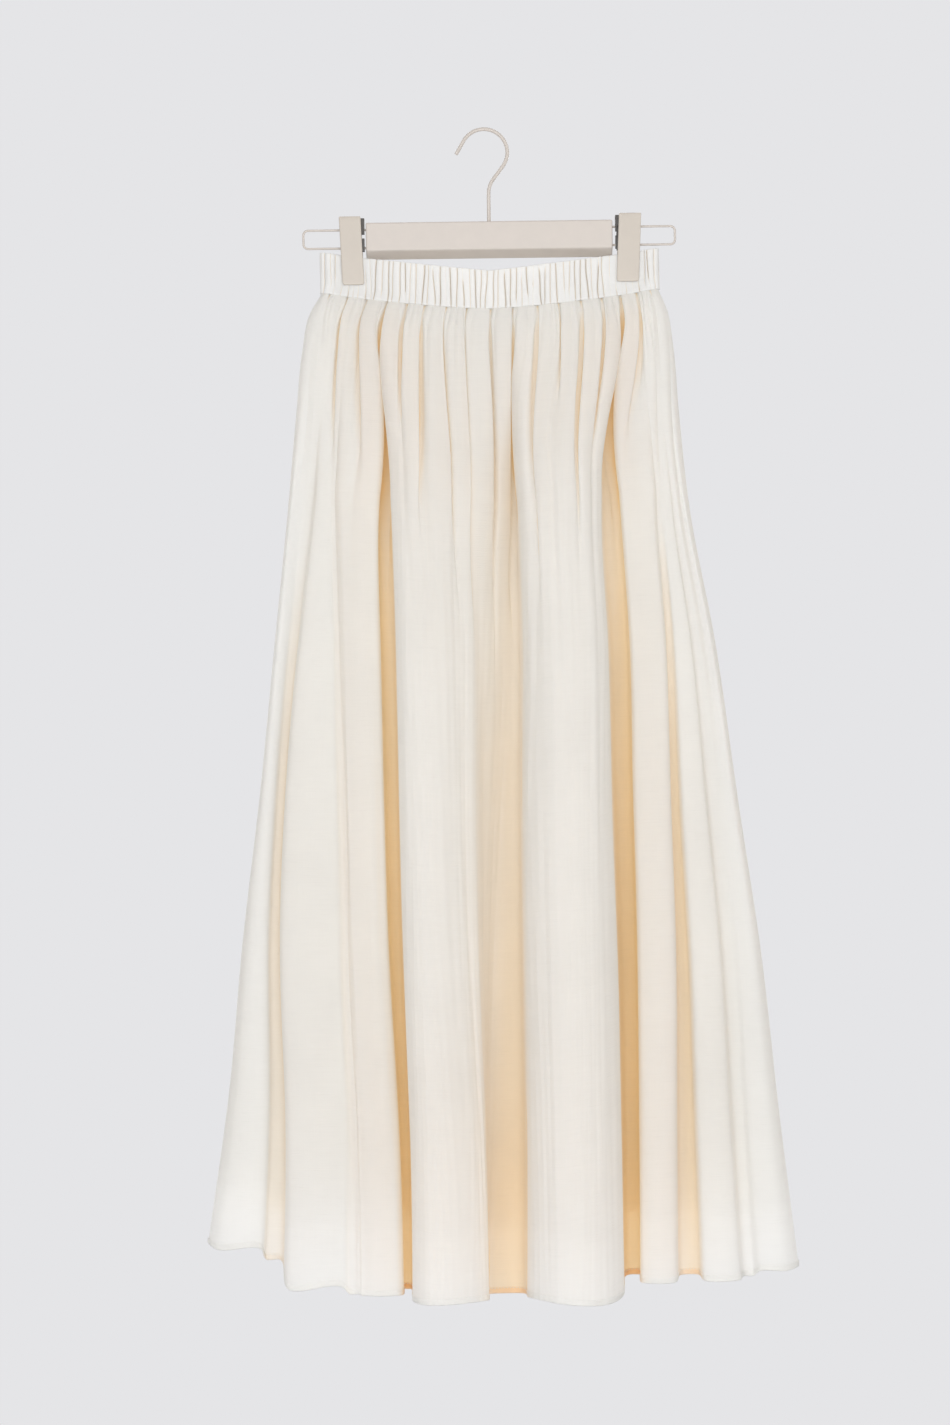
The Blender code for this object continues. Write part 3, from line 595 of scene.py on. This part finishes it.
class Nodes:
    """Short names for building the nodes of a material or of the world."""

    def __init__(self, owner):
        owner.use_nodes = True
        self.owner, self.tree = owner, owner.node_tree
        self.shader = self.tree.nodes.get("Principled BSDF")

    def fill(self, node, values):
        for key, value in values.items():
            if isinstance(value, bpy.types.NodeSocket):
                self.tree.links.new(value, node.inputs[key])
            else:
                node.inputs[key].default_value = value

    def add(self, kind, values=None, **settings):
        node = self.tree.nodes.new(kind)
        for key, value in settings.items():
            setattr(node, key, value)
        self.fill(node, values or {})
        return node

    def math(self, operation, first, second):
        return self.add("ShaderNodeMath", {0: first, 1: second}, operation=operation).outputs[0]

    def noise(self, vector, scale, detail=2.0, roughness=0.5):
        values = {"Vector": vector, "Scale": scale, "Detail": detail, "Roughness": roughness}
        return self.add("ShaderNodeTexNoise", values).outputs["Fac"]

    def stretched(self, vector, scale):
        return self.add("ShaderNodeMapping", {"Vector": vector, "Scale": scale}).outputs["Vector"]

    def range(self, value, low, high, to_low, to_high, shape="LINEAR"):
        values = {"Value": value, "From Min": low, "From Max": high, "To Min": to_low, "To Max": to_high}
        return self.add("ShaderNodeMapRange", values, interpolation_type=shape).outputs["Result"]

    def mix(self, factor, first, second, blend="MIX"):
        values = {0: factor, 6: first, 7: second}
        return self.add("ShaderNodeMix", values, data_type="RGBA", blend_type=blend).outputs[2]

    def rgb(self, *parts):
        values = dict(zip(("Red", "Green", "Blue"), parts))
        return self.add("ShaderNodeCombineColor", values).outputs["Color"]

    def toned(self, colour, tone):
        return self.mix(1.0, colour, self.rgb(tone, tone, tone), "MULTIPLY")

    def bump(self, height, strength, distance):
        values = {"Height": height, "Strength": strength, "Distance": distance}
        return self.add("ShaderNodeBump", values).outputs["Normal"]

    def attribute(self, name):
        return self.add("ShaderNodeAttribute", attribute_name=name).outputs["Fac"]


# How far soft clouds change the cloth's tone, and how much darker it is painted where the lining is behind
# it, as shade for the light that the lining keeps from coming through
CLOUDS, LINING_PAINTED_SHADE = 0.018, 0.018


def cloth_material(name, light, deep, translucent, threads, slub):
    """Woven cloth: fine threads both ways, slubs along the weft, and painted shade: warmer colour deep in the
    folds, and a slightly darker tone where the lining is behind it.
    """
    n = Nodes(bpy.data.materials.new(name))
    place = n.add("ShaderNodeUVMap", uv_map="cloth").outputs["UV"]
    weft = n.noise(n.stretched(place, (26.0, 1500.0, 1.0)), 1.0, 3.0, 0.6)
    warp = n.noise(n.stretched(place, (1500.0, 22.0, 1.0)), 1.0, 3.0, 0.6)
    slubs = n.noise(n.stretched(place, (45.0, 900.0, 1.0)), 1.0, 2.0, 0.5)
    slubs = n.range(slubs, 0.56, 0.74, 0.0, 1.0)
    cloudy = n.noise(place, 9.0, 3.0, 0.55)
    woven = n.math("ADD", n.math("MULTIPLY", weft, 0.62), n.math("MULTIPLY", warp, 0.38))
    tone = n.range(woven, 0.3, 0.7, 1.0 - threads, 1.0 + threads)
    tone = n.math("ADD", tone, n.range(cloudy, 0.3, 0.7, -CLOUDS, CLOUDS))
    tone = n.math("SUBTRACT", tone, n.math("MULTIPLY", slubs, slub))
    # Painted shade where the lining is behind the cloth
    tone = n.math("SUBTRACT", tone, n.math("MULTIPLY", n.attribute("lined"), LINING_PAINTED_SHADE))
    # Painted shade in the folds: the colour turns to shaded ivory, then to a warm deep shade, as the folds
    # get deeper
    painted_shade = n.attribute("painted_shade")
    colour = n.mix(n.range(painted_shade, *SHADED_FROM_TO, 0.0, 1.0, "SMOOTHSTEP"), light, SHADED_IVORY)
    colour = n.mix(n.range(painted_shade, *DEEP_FROM_TO, 0.0, 1.0, "SMOOTHSTEP"), colour, deep)
    colour = n.toned(colour, tone)
    bump = n.bump(n.math("ADD", woven, n.math("MULTIPLY", slubs, 0.7)), 0.28, 0.0006)
    n.fill(n.shader, {
        "Base Color": colour, "Normal": bump, "Roughness": 0.78, "Specular IOR Level": 0.25,
        "Sheen Weight": 0.4, "Sheen Roughness": 0.35,
    })
    seen = n.mix(1.0, colour, SEE_THROUGH, "MULTIPLY")
    through_cloth = n.add("ShaderNodeBsdfTranslucent", {"Color": seen, "Normal": bump}).outputs[0]
    both = n.add("ShaderNodeMixShader", {"Fac": translucent, 1: n.shader.outputs[0], 2: through_cloth})
    n.fill(n.tree.nodes["Material Output"], {"Surface": both.outputs[0]})
    return n.owner


def paint_material(name, colour, roughness):
    """Satin paint with a faint grain, a little uneven in its gloss."""
    n = Nodes(bpy.data.materials.new(name))
    place = n.add("ShaderNodeTexCoord").outputs["Object"]
    cloudy = n.noise(place, 60.0, 3.0, 0.55)
    grain = n.noise(place, 1400.0, 2.0, 0.5)
    tone = n.range(cloudy, 0.3, 0.7, 0.975, 1.02)
    n.fill(n.shader, {
        "Base Color": n.toned(colour, tone),
        "Roughness": n.range(cloudy, 0.3, 0.7, roughness - 0.04, roughness + 0.05),
        "Normal": n.bump(grain, 0.03, 0.0001), "Coat Weight": 0.15, "Coat Roughness": 0.3,
    })
    return n.owner


IVORY = (0.955, 0.952, 0.938, 1.0)
# Painted shade: the colour in the folds' shade, deep in the skirt's folds and deep in the band's gathers, and
# how deep in the folds each starts and is full
SHADED_IVORY = (0.99, 0.913, 0.815, 1.0)
DEEP_FOLD_SHADE = (1.0, 0.77, 0.46, 1.0)
BAND_SHADOW = (0.76, 0.70, 0.62, 1.0)
SHADED_FROM_TO, DEEP_FROM_TO = (0.22, 0.6), (0.56, 0.9)
# The lining's own colour, the colour of light passing through the cloth, and the hanger's colours
LINING_IVORY = (0.94, 0.92, 0.87, 1.0)
SEE_THROUGH = (1.0, 0.995, 0.98, 1.0)
PAINT = (0.585, 0.53, 0.48, 1.0)
CLIP_PAINT = (0.54, 0.485, 0.42, 1.0)
DARK_STEEL = (0.035, 0.028, 0.022, 1.0)

cloth = cloth_material("ivory_weave", IVORY, DEEP_FOLD_SHADE, 0.5, 0.02, 0.015)
band_cloth = cloth_material("band_weave", IVORY, BAND_SHADOW, 0.3, 0.02, 0.01)
lining_cloth = cloth_material("lining_weave", LINING_IVORY, DEEP_FOLD_SHADE, 0.45, 0.02, 0.0)
thread = cloth_material("ivory_thread", IVORY, DEEP_FOLD_SHADE, 0.1, 0.04, 0.0)
paint = paint_material("beige_satin_paint", PAINT, 0.42)
wire_paint = paint_material("beige_wire_paint", PAINT, 0.3)
steel = paint_material("dark_clip_steel", DARK_STEEL, 0.35)
clip_paint = paint_material("beige_clip_paint", CLIP_PAINT, 0.38)


def above_lining_hem(panel):
    """1 where the lining lies behind the cloth, and 0 below the lining's hem."""
    top, hem = panel[0, :, 2], panel[-1, :, 2]
    end = top + (hem - top) * LINING_END
    return ease((panel[:, :, 2] - end[None, :]) / 4.0 + 0.5)


def make_skirt():
    points = ring_points(FRONT_FOLDS, BACK_FOLDS)
    right_seam = column(points, "knot")[len(FRONT_FOLDS) * 2 + 1]
    at = np.concatenate([
        np.linspace(0.0, right_seam, FRONT_COLUMNS)[:-1],
        np.linspace(right_seam, 1.0, BACK_COLUMNS)[:-1],
    ])
    rows, normals = cloth_rows(skirt_ring, points, at, SKIRT_HEIGHTS)
    rows, normals = closed_round(rows), closed_round(normals)
    gathers = np.append(read_round(points, "gather", at, len(VALLEYS)), len(VALLEYS))
    seam = FRONT_COLUMNS - 1
    made = []
    for name, part in (("front", slice(0, seam + 1)), ("back", slice(seam, None))):
        panel, facing, here = rows[:, part], normals[:, part], gathers[part]
        # Painted shade deep in the folds: faded beside the side seams, and less down the centre valley's left
        # wall
        from_edge = np.minimum(here - here[0], here[-1] - here)
        lit = LIT_BY * np.exp(-(((here - LIT_VALLEY) / LIT_REACH) ** 2))
        shade = fold_shade(panel) * ease(from_edge / FREE_EDGE) * (1 - lit)
        # Painted shade in the holes where the waist seam pinches the gathers
        for row, down in enumerate(SKIRT_HEIGHTS):
            shade[row] = np.maximum(shade[row], 0.8 * pinched(here, down))
        values = {"painted_shade": shade, "lined": above_lining_hem(panel)}
        piece = finish_piece(
            f"{name}_cloth", panel, grid_faces(panel), cloth, f"skirt_{name}", values,
        )
        made.append((piece, panel, facing, shade))
    return made


# The turned hem from its upper outer edge round its fold: how far out it is, and its share of the height
HEM_HEIGHT = 5.4
HEM_PROFILE = (
    (0.10, 1.00), (0.42, 0.92), (0.50, 0.50), (0.42, 0.10), (0.00, -0.06),
    (-0.62, 0.12), (-0.85, 0.50), (-0.80, 0.92), (-0.15, 1.00),
)
STITCH_PITCH, STITCH_LENGTH, STITCH_RADIUS, STITCH_SIDES = 3.0, 2.1, 0.28, 6


def make_hem(name, panel, facing, shade):
    """A narrow turned hem along the panel's lower edge."""
    edge, normal = panel[-1], facing[-1]
    rows = np.array([
        np.column_stack([edge[:, :2] + normal * out, edge[:, 2] + HEM_HEIGHT * up]) for out, up in HEM_PROFILE
    ])
    # The hem carries the painted fold shade of the cloth's lowest row
    values = {"painted_shade": np.broadcast_to(shade[-1], rows.shape[:2])}
    return finish_piece(f"{name}_hem", rows, grid_faces(rows), cloth, values=values)


def make_stitches(name, line, normals, out):
    """A row of thread stitches along a line of points, each a small spindle that lies on the cloth."""
    lengths = np.linalg.norm(np.diff(line, axis=0), axis=1)
    along = np.concatenate([[0.0], np.cumsum(lengths)])
    places = np.arange(STITCH_PITCH, along[-1] - STITCH_PITCH, STITCH_PITCH)
    around = np.arange(STITCH_SIDES) * 2 * math.pi / STITCH_SIDES
    points, faces = [], []

    def read(values, at):
        return np.array([np.interp(at, along, part) for part in values.T])

    for place in places:
        start, end = (read(line, place + half * STITCH_LENGTH / 2) for half in (-1, 1))
        normal = read(normals, place)
        normal /= np.linalg.norm(normal)
        run = end - start
        up = np.append(normal, 0.0)
        side = np.cross(run / np.linalg.norm(run), up)
        lift = up * out
        spokes = [STITCH_RADIUS * (math.cos(turn) * side + math.sin(turn) * up) for turn in around]
        first = len(points)
        points.append(start + lift - up * STITCH_RADIUS)
        for share in (0.25, 0.75):
            middle = start + run * share + lift
            points += [middle + spoke for spoke in spokes]
        points.append(end + lift - up * STITCH_RADIUS)
        for turn in range(STITCH_SIDES):
            near = [first + 1 + (turn + step) % STITCH_SIDES for step in (0, 1)]
            far = [point + STITCH_SIDES for point in near]
            faces += [(first, near[1], near[0]), (*near, far[1], far[0]), (len(points) - 1, *far)]
    return finish_piece(name, points, faces, thread)


def above_edge(panel, height):
    """The line of points on a panel this far above its lower edge."""
    share = (height / (panel[-2, :, 2] - panel[-1, :, 2]))[:, None]
    return panel[-1] * (1 - share) + panel[-2] * share


# How much painted shade the lining gets, all of it alike
LINING_SHADE = 0.15


def make_lining():
    points = ring_points(LINING_FRONT, LINING_BACK, LINING_SEAM_OUT)
    at = np.linspace(0.0, 1.0, LINING_COLUMNS + 1)[:-1]
    rows = closed_round(cloth_rows(lining_ring, points, at, LINING_HEIGHTS)[0])
    faces = grid_faces(rows)
    values = {"painted_shade": np.full(rows.shape[:2], LINING_SHADE)}
    return finish_piece("lining_cloth", rows, faces, lining_cloth, "lining", values)


# The band's rows down its outside, as shares of its height, with how far its gathers are raised there
BandRow = namedtuple("BandRow", "down raised turned")
BAND_ROWS = [BandRow(*row) for row in (
    (0.0, 0.3, 0.25),
    (0.012, 0.7, 0.7),
    (0.035, 0.95, 0.95),
    *[(down, 1.0, 1.0) for down in (0.08, 0.16, 0.26, 0.36, 0.46, 0.56, 0.66, 0.76)],
    (0.86, 0.95, 1.0),
    (0.93, 0.8, 1.0),
    (0.97, 0.6, 1.0),
    (1.0, 0.4, 1.0),
)]
BAND_VALLEY_DEPTH, BAND_VALLEY_WIDTH, BAND_RIDGE_CROWN = 2.1, 0.088, 0.45
BAND_SCALLOP, CRUMPLE, BAND_PROUD = 1.0, 1.3, 0.25
# The band is crumpled beyond the clips: the x at which this starts and stops, and how far each takes
CRUMPLE_STARTS, CRUMPLE_STOPS = (138.0, 8.0), (154.0, 5.0)
# A gather that ends inside the band fades by this much, over this share of the band's height
GATHER_FADE, GATHER_FADE_OVER = 0.85, 0.12


def uneven_valleys():
    """The band's own random gathers, seeded: each one's place, slant, bend, depth, start and end."""
    generator = np.random.default_rng(21)
    count = BAND_GATHERS
    place = np.arange(count) + generator.uniform(-0.22, 0.22, count)
    slant = np.clip(generator.normal(0.0, 0.14, count), -0.26, 0.26)
    bend = np.clip(generator.normal(0.0, 0.06, count), -0.12, 0.12)
    depth = 0.5 + 0.9 * generator.random(count) ** 1.2
    start = np.where(generator.random(count) < 0.22, generator.uniform(0.1, 0.5, count), -1.0)
    end = np.where(generator.random(count) < 0.28, generator.uniform(0.4, 0.9, count), 2.0)
    return place, slant, bend, depth, start, end


def make_band():
    """The elastic waistband: a closed tube with uneven narrow gathers, rounded over at its top edge."""
    place, slant, bend, depth, start, end = uneven_valleys()
    gather = np.repeat(np.arange(BAND_GATHERS), BAND_STEPS)
    step = np.tile(np.arange(BAND_STEPS) / BAND_STEPS - 0.5, BAND_GATHERS)
    side = np.sign(step) * np.abs(2 * step) ** 1.6 / 2
    valley = np.exp(-((np.abs(side) / BAND_VALLEY_WIDTH) ** 1.3))
    crown = BAND_RIDGE_CROWN * (1 - (2 * np.abs(side)) ** 2)
    turn = (gather + side) / BAND_GATHERS
    outer, inner, painted_shade = [], [], []
    for down, raised, turned in BAND_ROWS:
        opened = ease((down - 0.7) / 0.3)
        centres = place + slant * 2 * (down - 0.5) + bend * math.sin(6.0 * down)
        around = np.concatenate([[centres[-1] - BAND_GATHERS], centres, [centres[0] + BAND_GATHERS]])
        here = around[gather + 1]
        spacing = np.where(side < 0, here - around[gather], around[gather + 2] - here)
        ring = band_ring(opened, np.mod((here + side * spacing) / BAND_GATHERS, 1.0))
        normals = outward_normals(ring)
        clipped = np.exp(-(((np.abs(ring[:, 0]) - CLIP_X) / CLIPPED_WIDTH) ** 6)) * (1 - opened)
        starts, stops = (ease((np.abs(ring[:, 0]) - x) / over) for x, over in (CRUMPLE_STARTS, CRUMPLE_STOPS))
        beyond = starts * (1 - stops)
        above, below = (ease(past / GATHER_FADE_OVER + 0.5) for past in (start - down, down - end))
        runs = depth * (1 - GATHER_FADE * above) * (1 - GATHER_FADE * below)
        deep = runs[gather] * (1 - 0.8 * clipped)
        pressed = BAND_VALLEY_DEPTH * deep * valley + crown * (1 - 0.8 * clipped)
        moved = BAND_PROUD + raised * (BAND_RIDGE_CROWN / 2 - pressed)
        moved = moved + CRUMPLE * beyond * wander(turn, 53, 27) * (1 - opened) * raised
        scallop = BAND_SCALLOP * deep * valley * math.exp(-down / 0.02)
        half_wall = BAND_WALL / 2 * turned
        for wall, out in ((outer, half_wall + moved), (inner, np.full(len(turn), -half_wall))):
            placed = ring + normals * out[:, None]
            z = band_top_z(placed[:, 0]) * (1 - down) + band_seam_z(placed[:, 0]) * down - scallop
            wall.append(np.column_stack([placed, z]))
        # Painted shade in the band's gathers, more in deeper ones, and none on the inside wall
        painted_shade.append(np.minimum(valley * (0.35 + 0.75 * deep), 1.0))
    rows = closed_round(np.array(outer + inner[::-1]))
    painted_shade = closed_round(np.array(painted_shade + [np.zeros(len(turn))] * len(inner)))
    columns = painted_shade.shape[1]
    last = painted_shade.size - columns
    faces = grid_faces(rows) + [(last + j, j, j + 1, last + j + 1) for j in range(columns - 1)]
    # The band is painted with the lined cloth's shade all over
    values = {"painted_shade": painted_shade, "lined": np.ones_like(painted_shade)}
    finish_piece("waistband_cloth", rows, faces, band_cloth, "waistband", values)
    seam_line = rows[len(outer) - 2, ::3]
    seam_facing = outward_normals(seam_line[:-1, :2])
    return seam_line[:-1], seam_facing


for (piece, panel, facing, shade), name, flat, area in zip(
    make_skirt(), ("front", "back"), ((1.10, 0.95), (0.80, 0.95)), (0.80, 0.60),
):
    hem = make_hem(name, panel, facing, shade)
    stitches = make_stitches(f"{name}_hem_stitches", above_edge(panel, HEM_HEIGHT * 0.9), facing[-1], 0.55)
lining = make_lining()
make_stitches("waist_stitches", *make_band(), 0.15)


# The clips: where the solids' plates are, with a dark strip that shows beside their inner sides
ClipSide = namedtuple("ClipSide", "name side outer inner tilt")
CLIPS = (
    ClipSide("left", -1, 141.0, 120.4, -0.045),
    ClipSide("right", 1, 143.0, 121.8, 0.046),
)
CLIP_TOP_Z, CLIP_HEIGHT, CLIP_GRIP = -80.3, 65.0, 4.2
TOP_CORNER, BOTTOM_CORNER, CORNER_STEPS = 1.2, 2.4, 5
# A plate's edge from its back to its crowned front: how far in from the outline, and how far from the back
PLATE_EDGE = ((0.0, 0.0), (0.0, 0.8), (0.12, 1.12), (0.45, 1.36), (1.2, 1.42), (3.5, 1.5))
STRIP_THICK, STRIP_HALF, STRIP_GAP, STRIP_FOOT_Z = 0.8, 9.0, 0.3, -114.5
FLANGE_INNER, FLANGE_WIDTH = 2.0, 3.2
FLANGE_STRETCHES = ((-81.8, -96.6), (-101.0, -113.0))


def arc(centre, radius, start, end, steps):
    turns = np.linspace(start, end, steps + 1)
    return [(centre[0] + radius * math.cos(turn), centre[1] + radius * math.sin(turn)) for turn in turns]


def rounded_outline(low, high, corners, inset):
    """A rectangle with rounded corners in x and z, with the right top corner first, drawn in by the inset."""
    (left, bottom), (right, top) = low, high
    points = []
    for (x, z), (across, up), radius, quarter in zip(
        ((right, top), (left, top), (left, bottom), (right, bottom)),
        ((-1, -1), (1, -1), (1, 1), (-1, 1)), corners, range(4),
    ):
        small = max(radius - inset, 0.05)
        centre = (x + across * (inset + small), z + up * (inset + small))
        points += arc(centre, small, quarter * math.pi / 2, (quarter + 1) * math.pi / 2, CORNER_STEPS)
    return np.array(points)


def make_plate(name, clip, face):
    """One plate of a clip, with rounded corners, eased edges and a slightly crowned face."""
    x_edges = sorted((clip.side * clip.outer, clip.side * clip.inner))
    low, high = (x_edges[0], CLIP_TOP_Z - CLIP_HEIGHT), (x_edges[1], CLIP_TOP_Z)
    corners = (TOP_CORNER, TOP_CORNER, BOTTOM_CORNER, BOTTOM_CORNER)
    rows = []
    for inset, out in PLATE_EDGE:
        outline = rounded_outline(low, high, corners, inset)
        leaning = outline[:, 0] + clip.tilt * (outline[:, 1] - CLIP_TOP_Z + CLIP_HEIGHT / 2)
        y = np.full(len(outline), face * (CLIP_GRIP + out))
        rows.append(np.column_stack([leaning, y, outline[:, 1]]))
    faces = closed_tube(rows)
    if face > 0:
        faces = [tuple(reversed(corner)) for corner in faces]
    finish_piece(name, rows, faces, clip_paint, name.replace("_shell", "_plate"))


def add_block(points, faces, low, high):
    """A closed block between two corners."""
    first = len(points)
    points += [(x, y, z) for x in (low[0], high[0]) for y in (low[1], high[1]) for z in (low[2], high[2])]
    for quad in ((0, 1, 3, 2), (4, 6, 7, 5), (0, 4, 5, 1), (2, 3, 7, 6), (0, 2, 6, 4), (1, 5, 7, 3)):
        faces.append(tuple(first + corner for corner in quad))


def make_bracket(name, clip):
    """A clip's steel strip bent over the top wire, and a dark flange beside the plates at its inner side."""
    outer, inner = CLIP_GRIP - STRIP_GAP, CLIP_GRIP - STRIP_GAP - STRIP_THICK
    centre = (0.0, LOOP_TOP_Z + LOOP_WIRE / 2 + STRIP_GAP - inner)
    over, under = (
        [(wall, STRIP_FOOT_Z), *arc(centre, wall, 0.0, math.pi, 12), (-wall, STRIP_FOOT_Z)]
        for wall in (outer, inner)
    )
    count = len(over)
    points = []
    for x in (clip.side * CLIP_X - STRIP_HALF, clip.side * CLIP_X + STRIP_HALF):
        points += [(x, y, z) for y, z in over] + [(x, y, z) for y, z in under]
    faces = []
    for j in range(count - 1):
        a, b, c, d = j, j + count, 2 * count + j, 3 * count + j
        faces += [(a, a + 1, c + 1, c), (b, d, d + 1, b + 1), (a, b, b + 1, a + 1), (c, c + 1, d + 1, d)]
    for j in (0, count - 1):
        ends = (j, 2 * count + j, 3 * count + j, count + j)
        faces.append(ends if j == 0 else tuple(reversed(ends)))
    start = clip.inner - FLANGE_INNER
    near, far = sorted((clip.side * start, clip.side * (start + FLANGE_WIDTH)))
    for top, bottom in FLANGE_STRETCHES:
        add_block(points, faces, (near, -inner, bottom), (far, STRIP_THICK - inner, top))
        add_block(points, faces, (near, inner - STRIP_THICK, bottom), (far, inner, top))
    piece = finish_piece(name, points, faces, steel, name.replace("_bracket", "_spring"))
    piece.data.set_sharp_from_angle(angle=math.radians(35))


# The wires: the hook's route up its shank, round its bend and curl to its tip, and the bar's end loops
WIRE_SIDES, END_ROUNDING = 16, ((0.0, 0.0), (0.12, 0.5), (0.4, 0.84), (1.0, 1.0))
HOOK_WIRE, HOOK_RADIUS, HOOK_BEND, HOOK_TIP = 3.6, 22.2, 22.0, 14.0
HOOK_LEAN, HOOK_OPEN = math.radians(37.0), math.radians(150.0)
LOOP_WIRE, LOOP_REACH, LOOP_CORNER, LOOP_TOP_Z, LOOP_BOTTOM_Z = 2.2, 176.5, 4.5, -92.6, -109.9
BAR_END_X, WIRE_START_Z = 117.3, -86.2


def hook_route():
    """Up the shank, over a bend to the right, and round the circle to a straight tip."""
    circle = (-BAR_MIDDLE_X, HOOK_WIRE / 2 - HOOK_RADIUS)
    lean_x, lean_z = math.cos(HOOK_LEAN), math.sin(HOOK_LEAN)
    start = (circle[0] + HOOK_RADIUS * lean_x, circle[1] - HOOK_RADIUS * lean_z)
    straight = (start[0] - HOOK_BEND * (1 - lean_x)) / lean_z
    bend_z = start[1] - straight * lean_x - HOOK_BEND * lean_z
    bend = arc((HOOK_BEND, bend_z), HOOK_BEND, math.pi, math.pi - HOOK_LEAN, 12)
    curl = arc(circle, HOOK_RADIUS, -HOOK_LEAN, HOOK_OPEN, 48)
    tip = (curl[-1][0] - HOOK_TIP * math.sin(HOOK_OPEN), curl[-1][1] + HOOK_TIP * math.cos(HOOK_OPEN))
    return [(0.0, WIRE_START_Z), *bend, *curl, tip]


def loop_route(side):
    corner_x = LOOP_REACH - LOOP_CORNER
    top = arc((corner_x, LOOP_TOP_Z - LOOP_CORNER), LOOP_CORNER, math.pi / 2, 0.0, 10)
    bottom = arc((corner_x, LOOP_BOTTOM_Z + LOOP_CORNER), LOOP_CORNER, 0.0, -math.pi / 2, 10)
    return [(side * x, z) for x, z in [(BAR_END_X, LOOP_TOP_Z), *top, *bottom, (BAR_END_X, LOOP_BOTTOM_Z)]]


def make_wire(name, node, route, diameter):
    """A round wire along (x, z) points in the hanger's plane, with both ends rounded over."""
    route = np.array(route)
    runs = np.diff(route, axis=0)
    runs /= np.linalg.norm(runs, axis=1, keepdims=True)
    tangents = np.vstack([runs[:1], (runs[:-1] + runs[1:]) / 2, runs[-1:]])
    tangents /= np.linalg.norm(tangents, axis=1, keepdims=True)
    radius = diameter / 2
    backs = [(radius * (along - 1) * 0.5, share) for along, share in END_ROUNDING]
    stations = [(route[0] + tangents[0] * back, tangents[0], share) for back, share in backs]
    stations += [(place, tangent, 1.0) for place, tangent in zip(route[1:-1], tangents[1:-1])]
    stations += [(route[-1] - tangents[-1] * back, tangents[-1], share) for back, share in reversed(backs)]
    turns = np.arange(WIRE_SIDES) * 2 * math.pi / WIRE_SIDES
    rows = []
    for (x, z), (along_x, along_z), share in stations:
        around = radius * max(share, 0.02)
        out, side = around * np.cos(turns), around * np.sin(turns)
        rows.append(np.column_stack([x + out * along_z, side, z - out * along_x]))
    finish_piece(name, rows, closed_tube(rows), wire_paint, node)


make_wire("hook_wire", "hanger_hook", hook_route(), HOOK_WIRE)
make_wire("left_loop_wire", "wire_loop_left", loop_route(-1), LOOP_WIRE)
make_wire("right_loop_wire", "wire_loop_right", loop_route(1), LOOP_WIRE)

for clip in CLIPS:
    make_plate(f"clip_{clip.name}_front_shell", clip, -1)
    make_plate(f"clip_{clip.name}_back_shell", clip, 1)
    make_bracket(f"clip_{clip.name}_bracket", clip)

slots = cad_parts["hanger_bar"].data.materials
slots.clear()
slots.append(paint)

# The camera: level, far enough to look like the photo, and turned a little about its own line of sight
CAMERA_X, CAMERA_DISTANCE, CAMERA_Z = -0.01535, 2.6, -0.5523
FIELD_HEIGHT, CAMERA_ROLL = 1.354, math.radians(0.75)
camera_data = bpy.data.cameras.new("camera")
camera_data.sensor_fit = "VERTICAL"
camera_data.sensor_height = 36.0
camera_data.lens = 36.0 * CAMERA_DISTANCE / FIELD_HEIGHT
camera = add_object("camera", camera_data)
camera.location = (CAMERA_X, -CAMERA_DISTANCE, CAMERA_Z)
camera.rotation_euler = (math.pi / 2, CAMERA_ROLL, 0.0)
bpy.context.scene.camera = camera

# A plain pale floor, well below the hem
FLOOR_Z, FLOOR_HALF = -1.75, 1.7
floor_mesh = bpy.data.meshes.new("floor")
floor_corners = [(x * FLOOR_HALF, y * FLOOR_HALF, FLOOR_Z) for x, y in ((-1, -1), (1, -1), (1, 1), (-1, 1))]
floor_mesh.from_pydata(floor_corners, [], [(0, 1, 2, 3)])
floor_nodes = Nodes(bpy.data.materials.new("pale_floor"))
floor_nodes.fill(floor_nodes.shader, {"Base Color": (0.80, 0.80, 0.81, 1.0), "Roughness": 0.9})
floor_mesh.materials.append(floor_nodes.owner)
add_object("floor", floor_mesh)


LIT_PLACE = (0.0, 0.0, -0.6)


def add_light(name, place, size, power, colour):
    """A soft rectangle of light that faces the skirt's middle."""
    data = bpy.data.lights.new(name, "AREA")
    data.shape = "RECTANGLE"
    data.size, data.size_y = size
    data.energy = power
    data.color = colour
    light = add_object(name, data)
    light.location = place
    light.rotation_euler = (Vector(LIT_PLACE) - Vector(place)).to_track_quat("-Z", "Y").to_euler()


add_light("key", (1.6, -2.4, 0.9), (1.2, 1.2), 20.0, (1.0, 0.985, 0.96))
add_light("front", (-0.3, -3.3, -0.5), (2.2, 2.2), 60.0, (1.0, 1.0, 1.0))
add_light("fill", (-2.4, -1.6, -0.3), (1.6, 2.0), 4.0, (0.97, 0.98, 1.0))
add_light("back", (0.0, 2.4, 0.4), (2.0, 1.6), 20.0, (1.0, 0.99, 0.97))

# The studio: pale grey, and dimmer behind the camera, so that the light in the folds comes from in front
world = bpy.data.worlds.new("studio")
sky = Nodes(world)
direction = sky.add("ShaderNodeTexCoord").outputs["Generated"]
ahead = sky.add("ShaderNodeSeparateXYZ", {"Vector": direction}).outputs["Y"]
grey = sky.range(ahead, -0.1, 0.7, 0.45, 0.783)
bluer = sky.math("MULTIPLY", grey, 1.022)
sky.fill(sky.tree.nodes["Background"], {"Color": sky.rgb(grey, grey, bluer), "Strength": 1.0})
bpy.context.scene.world = world
bpy.context.scene.view_settings.view_transform = "Standard"
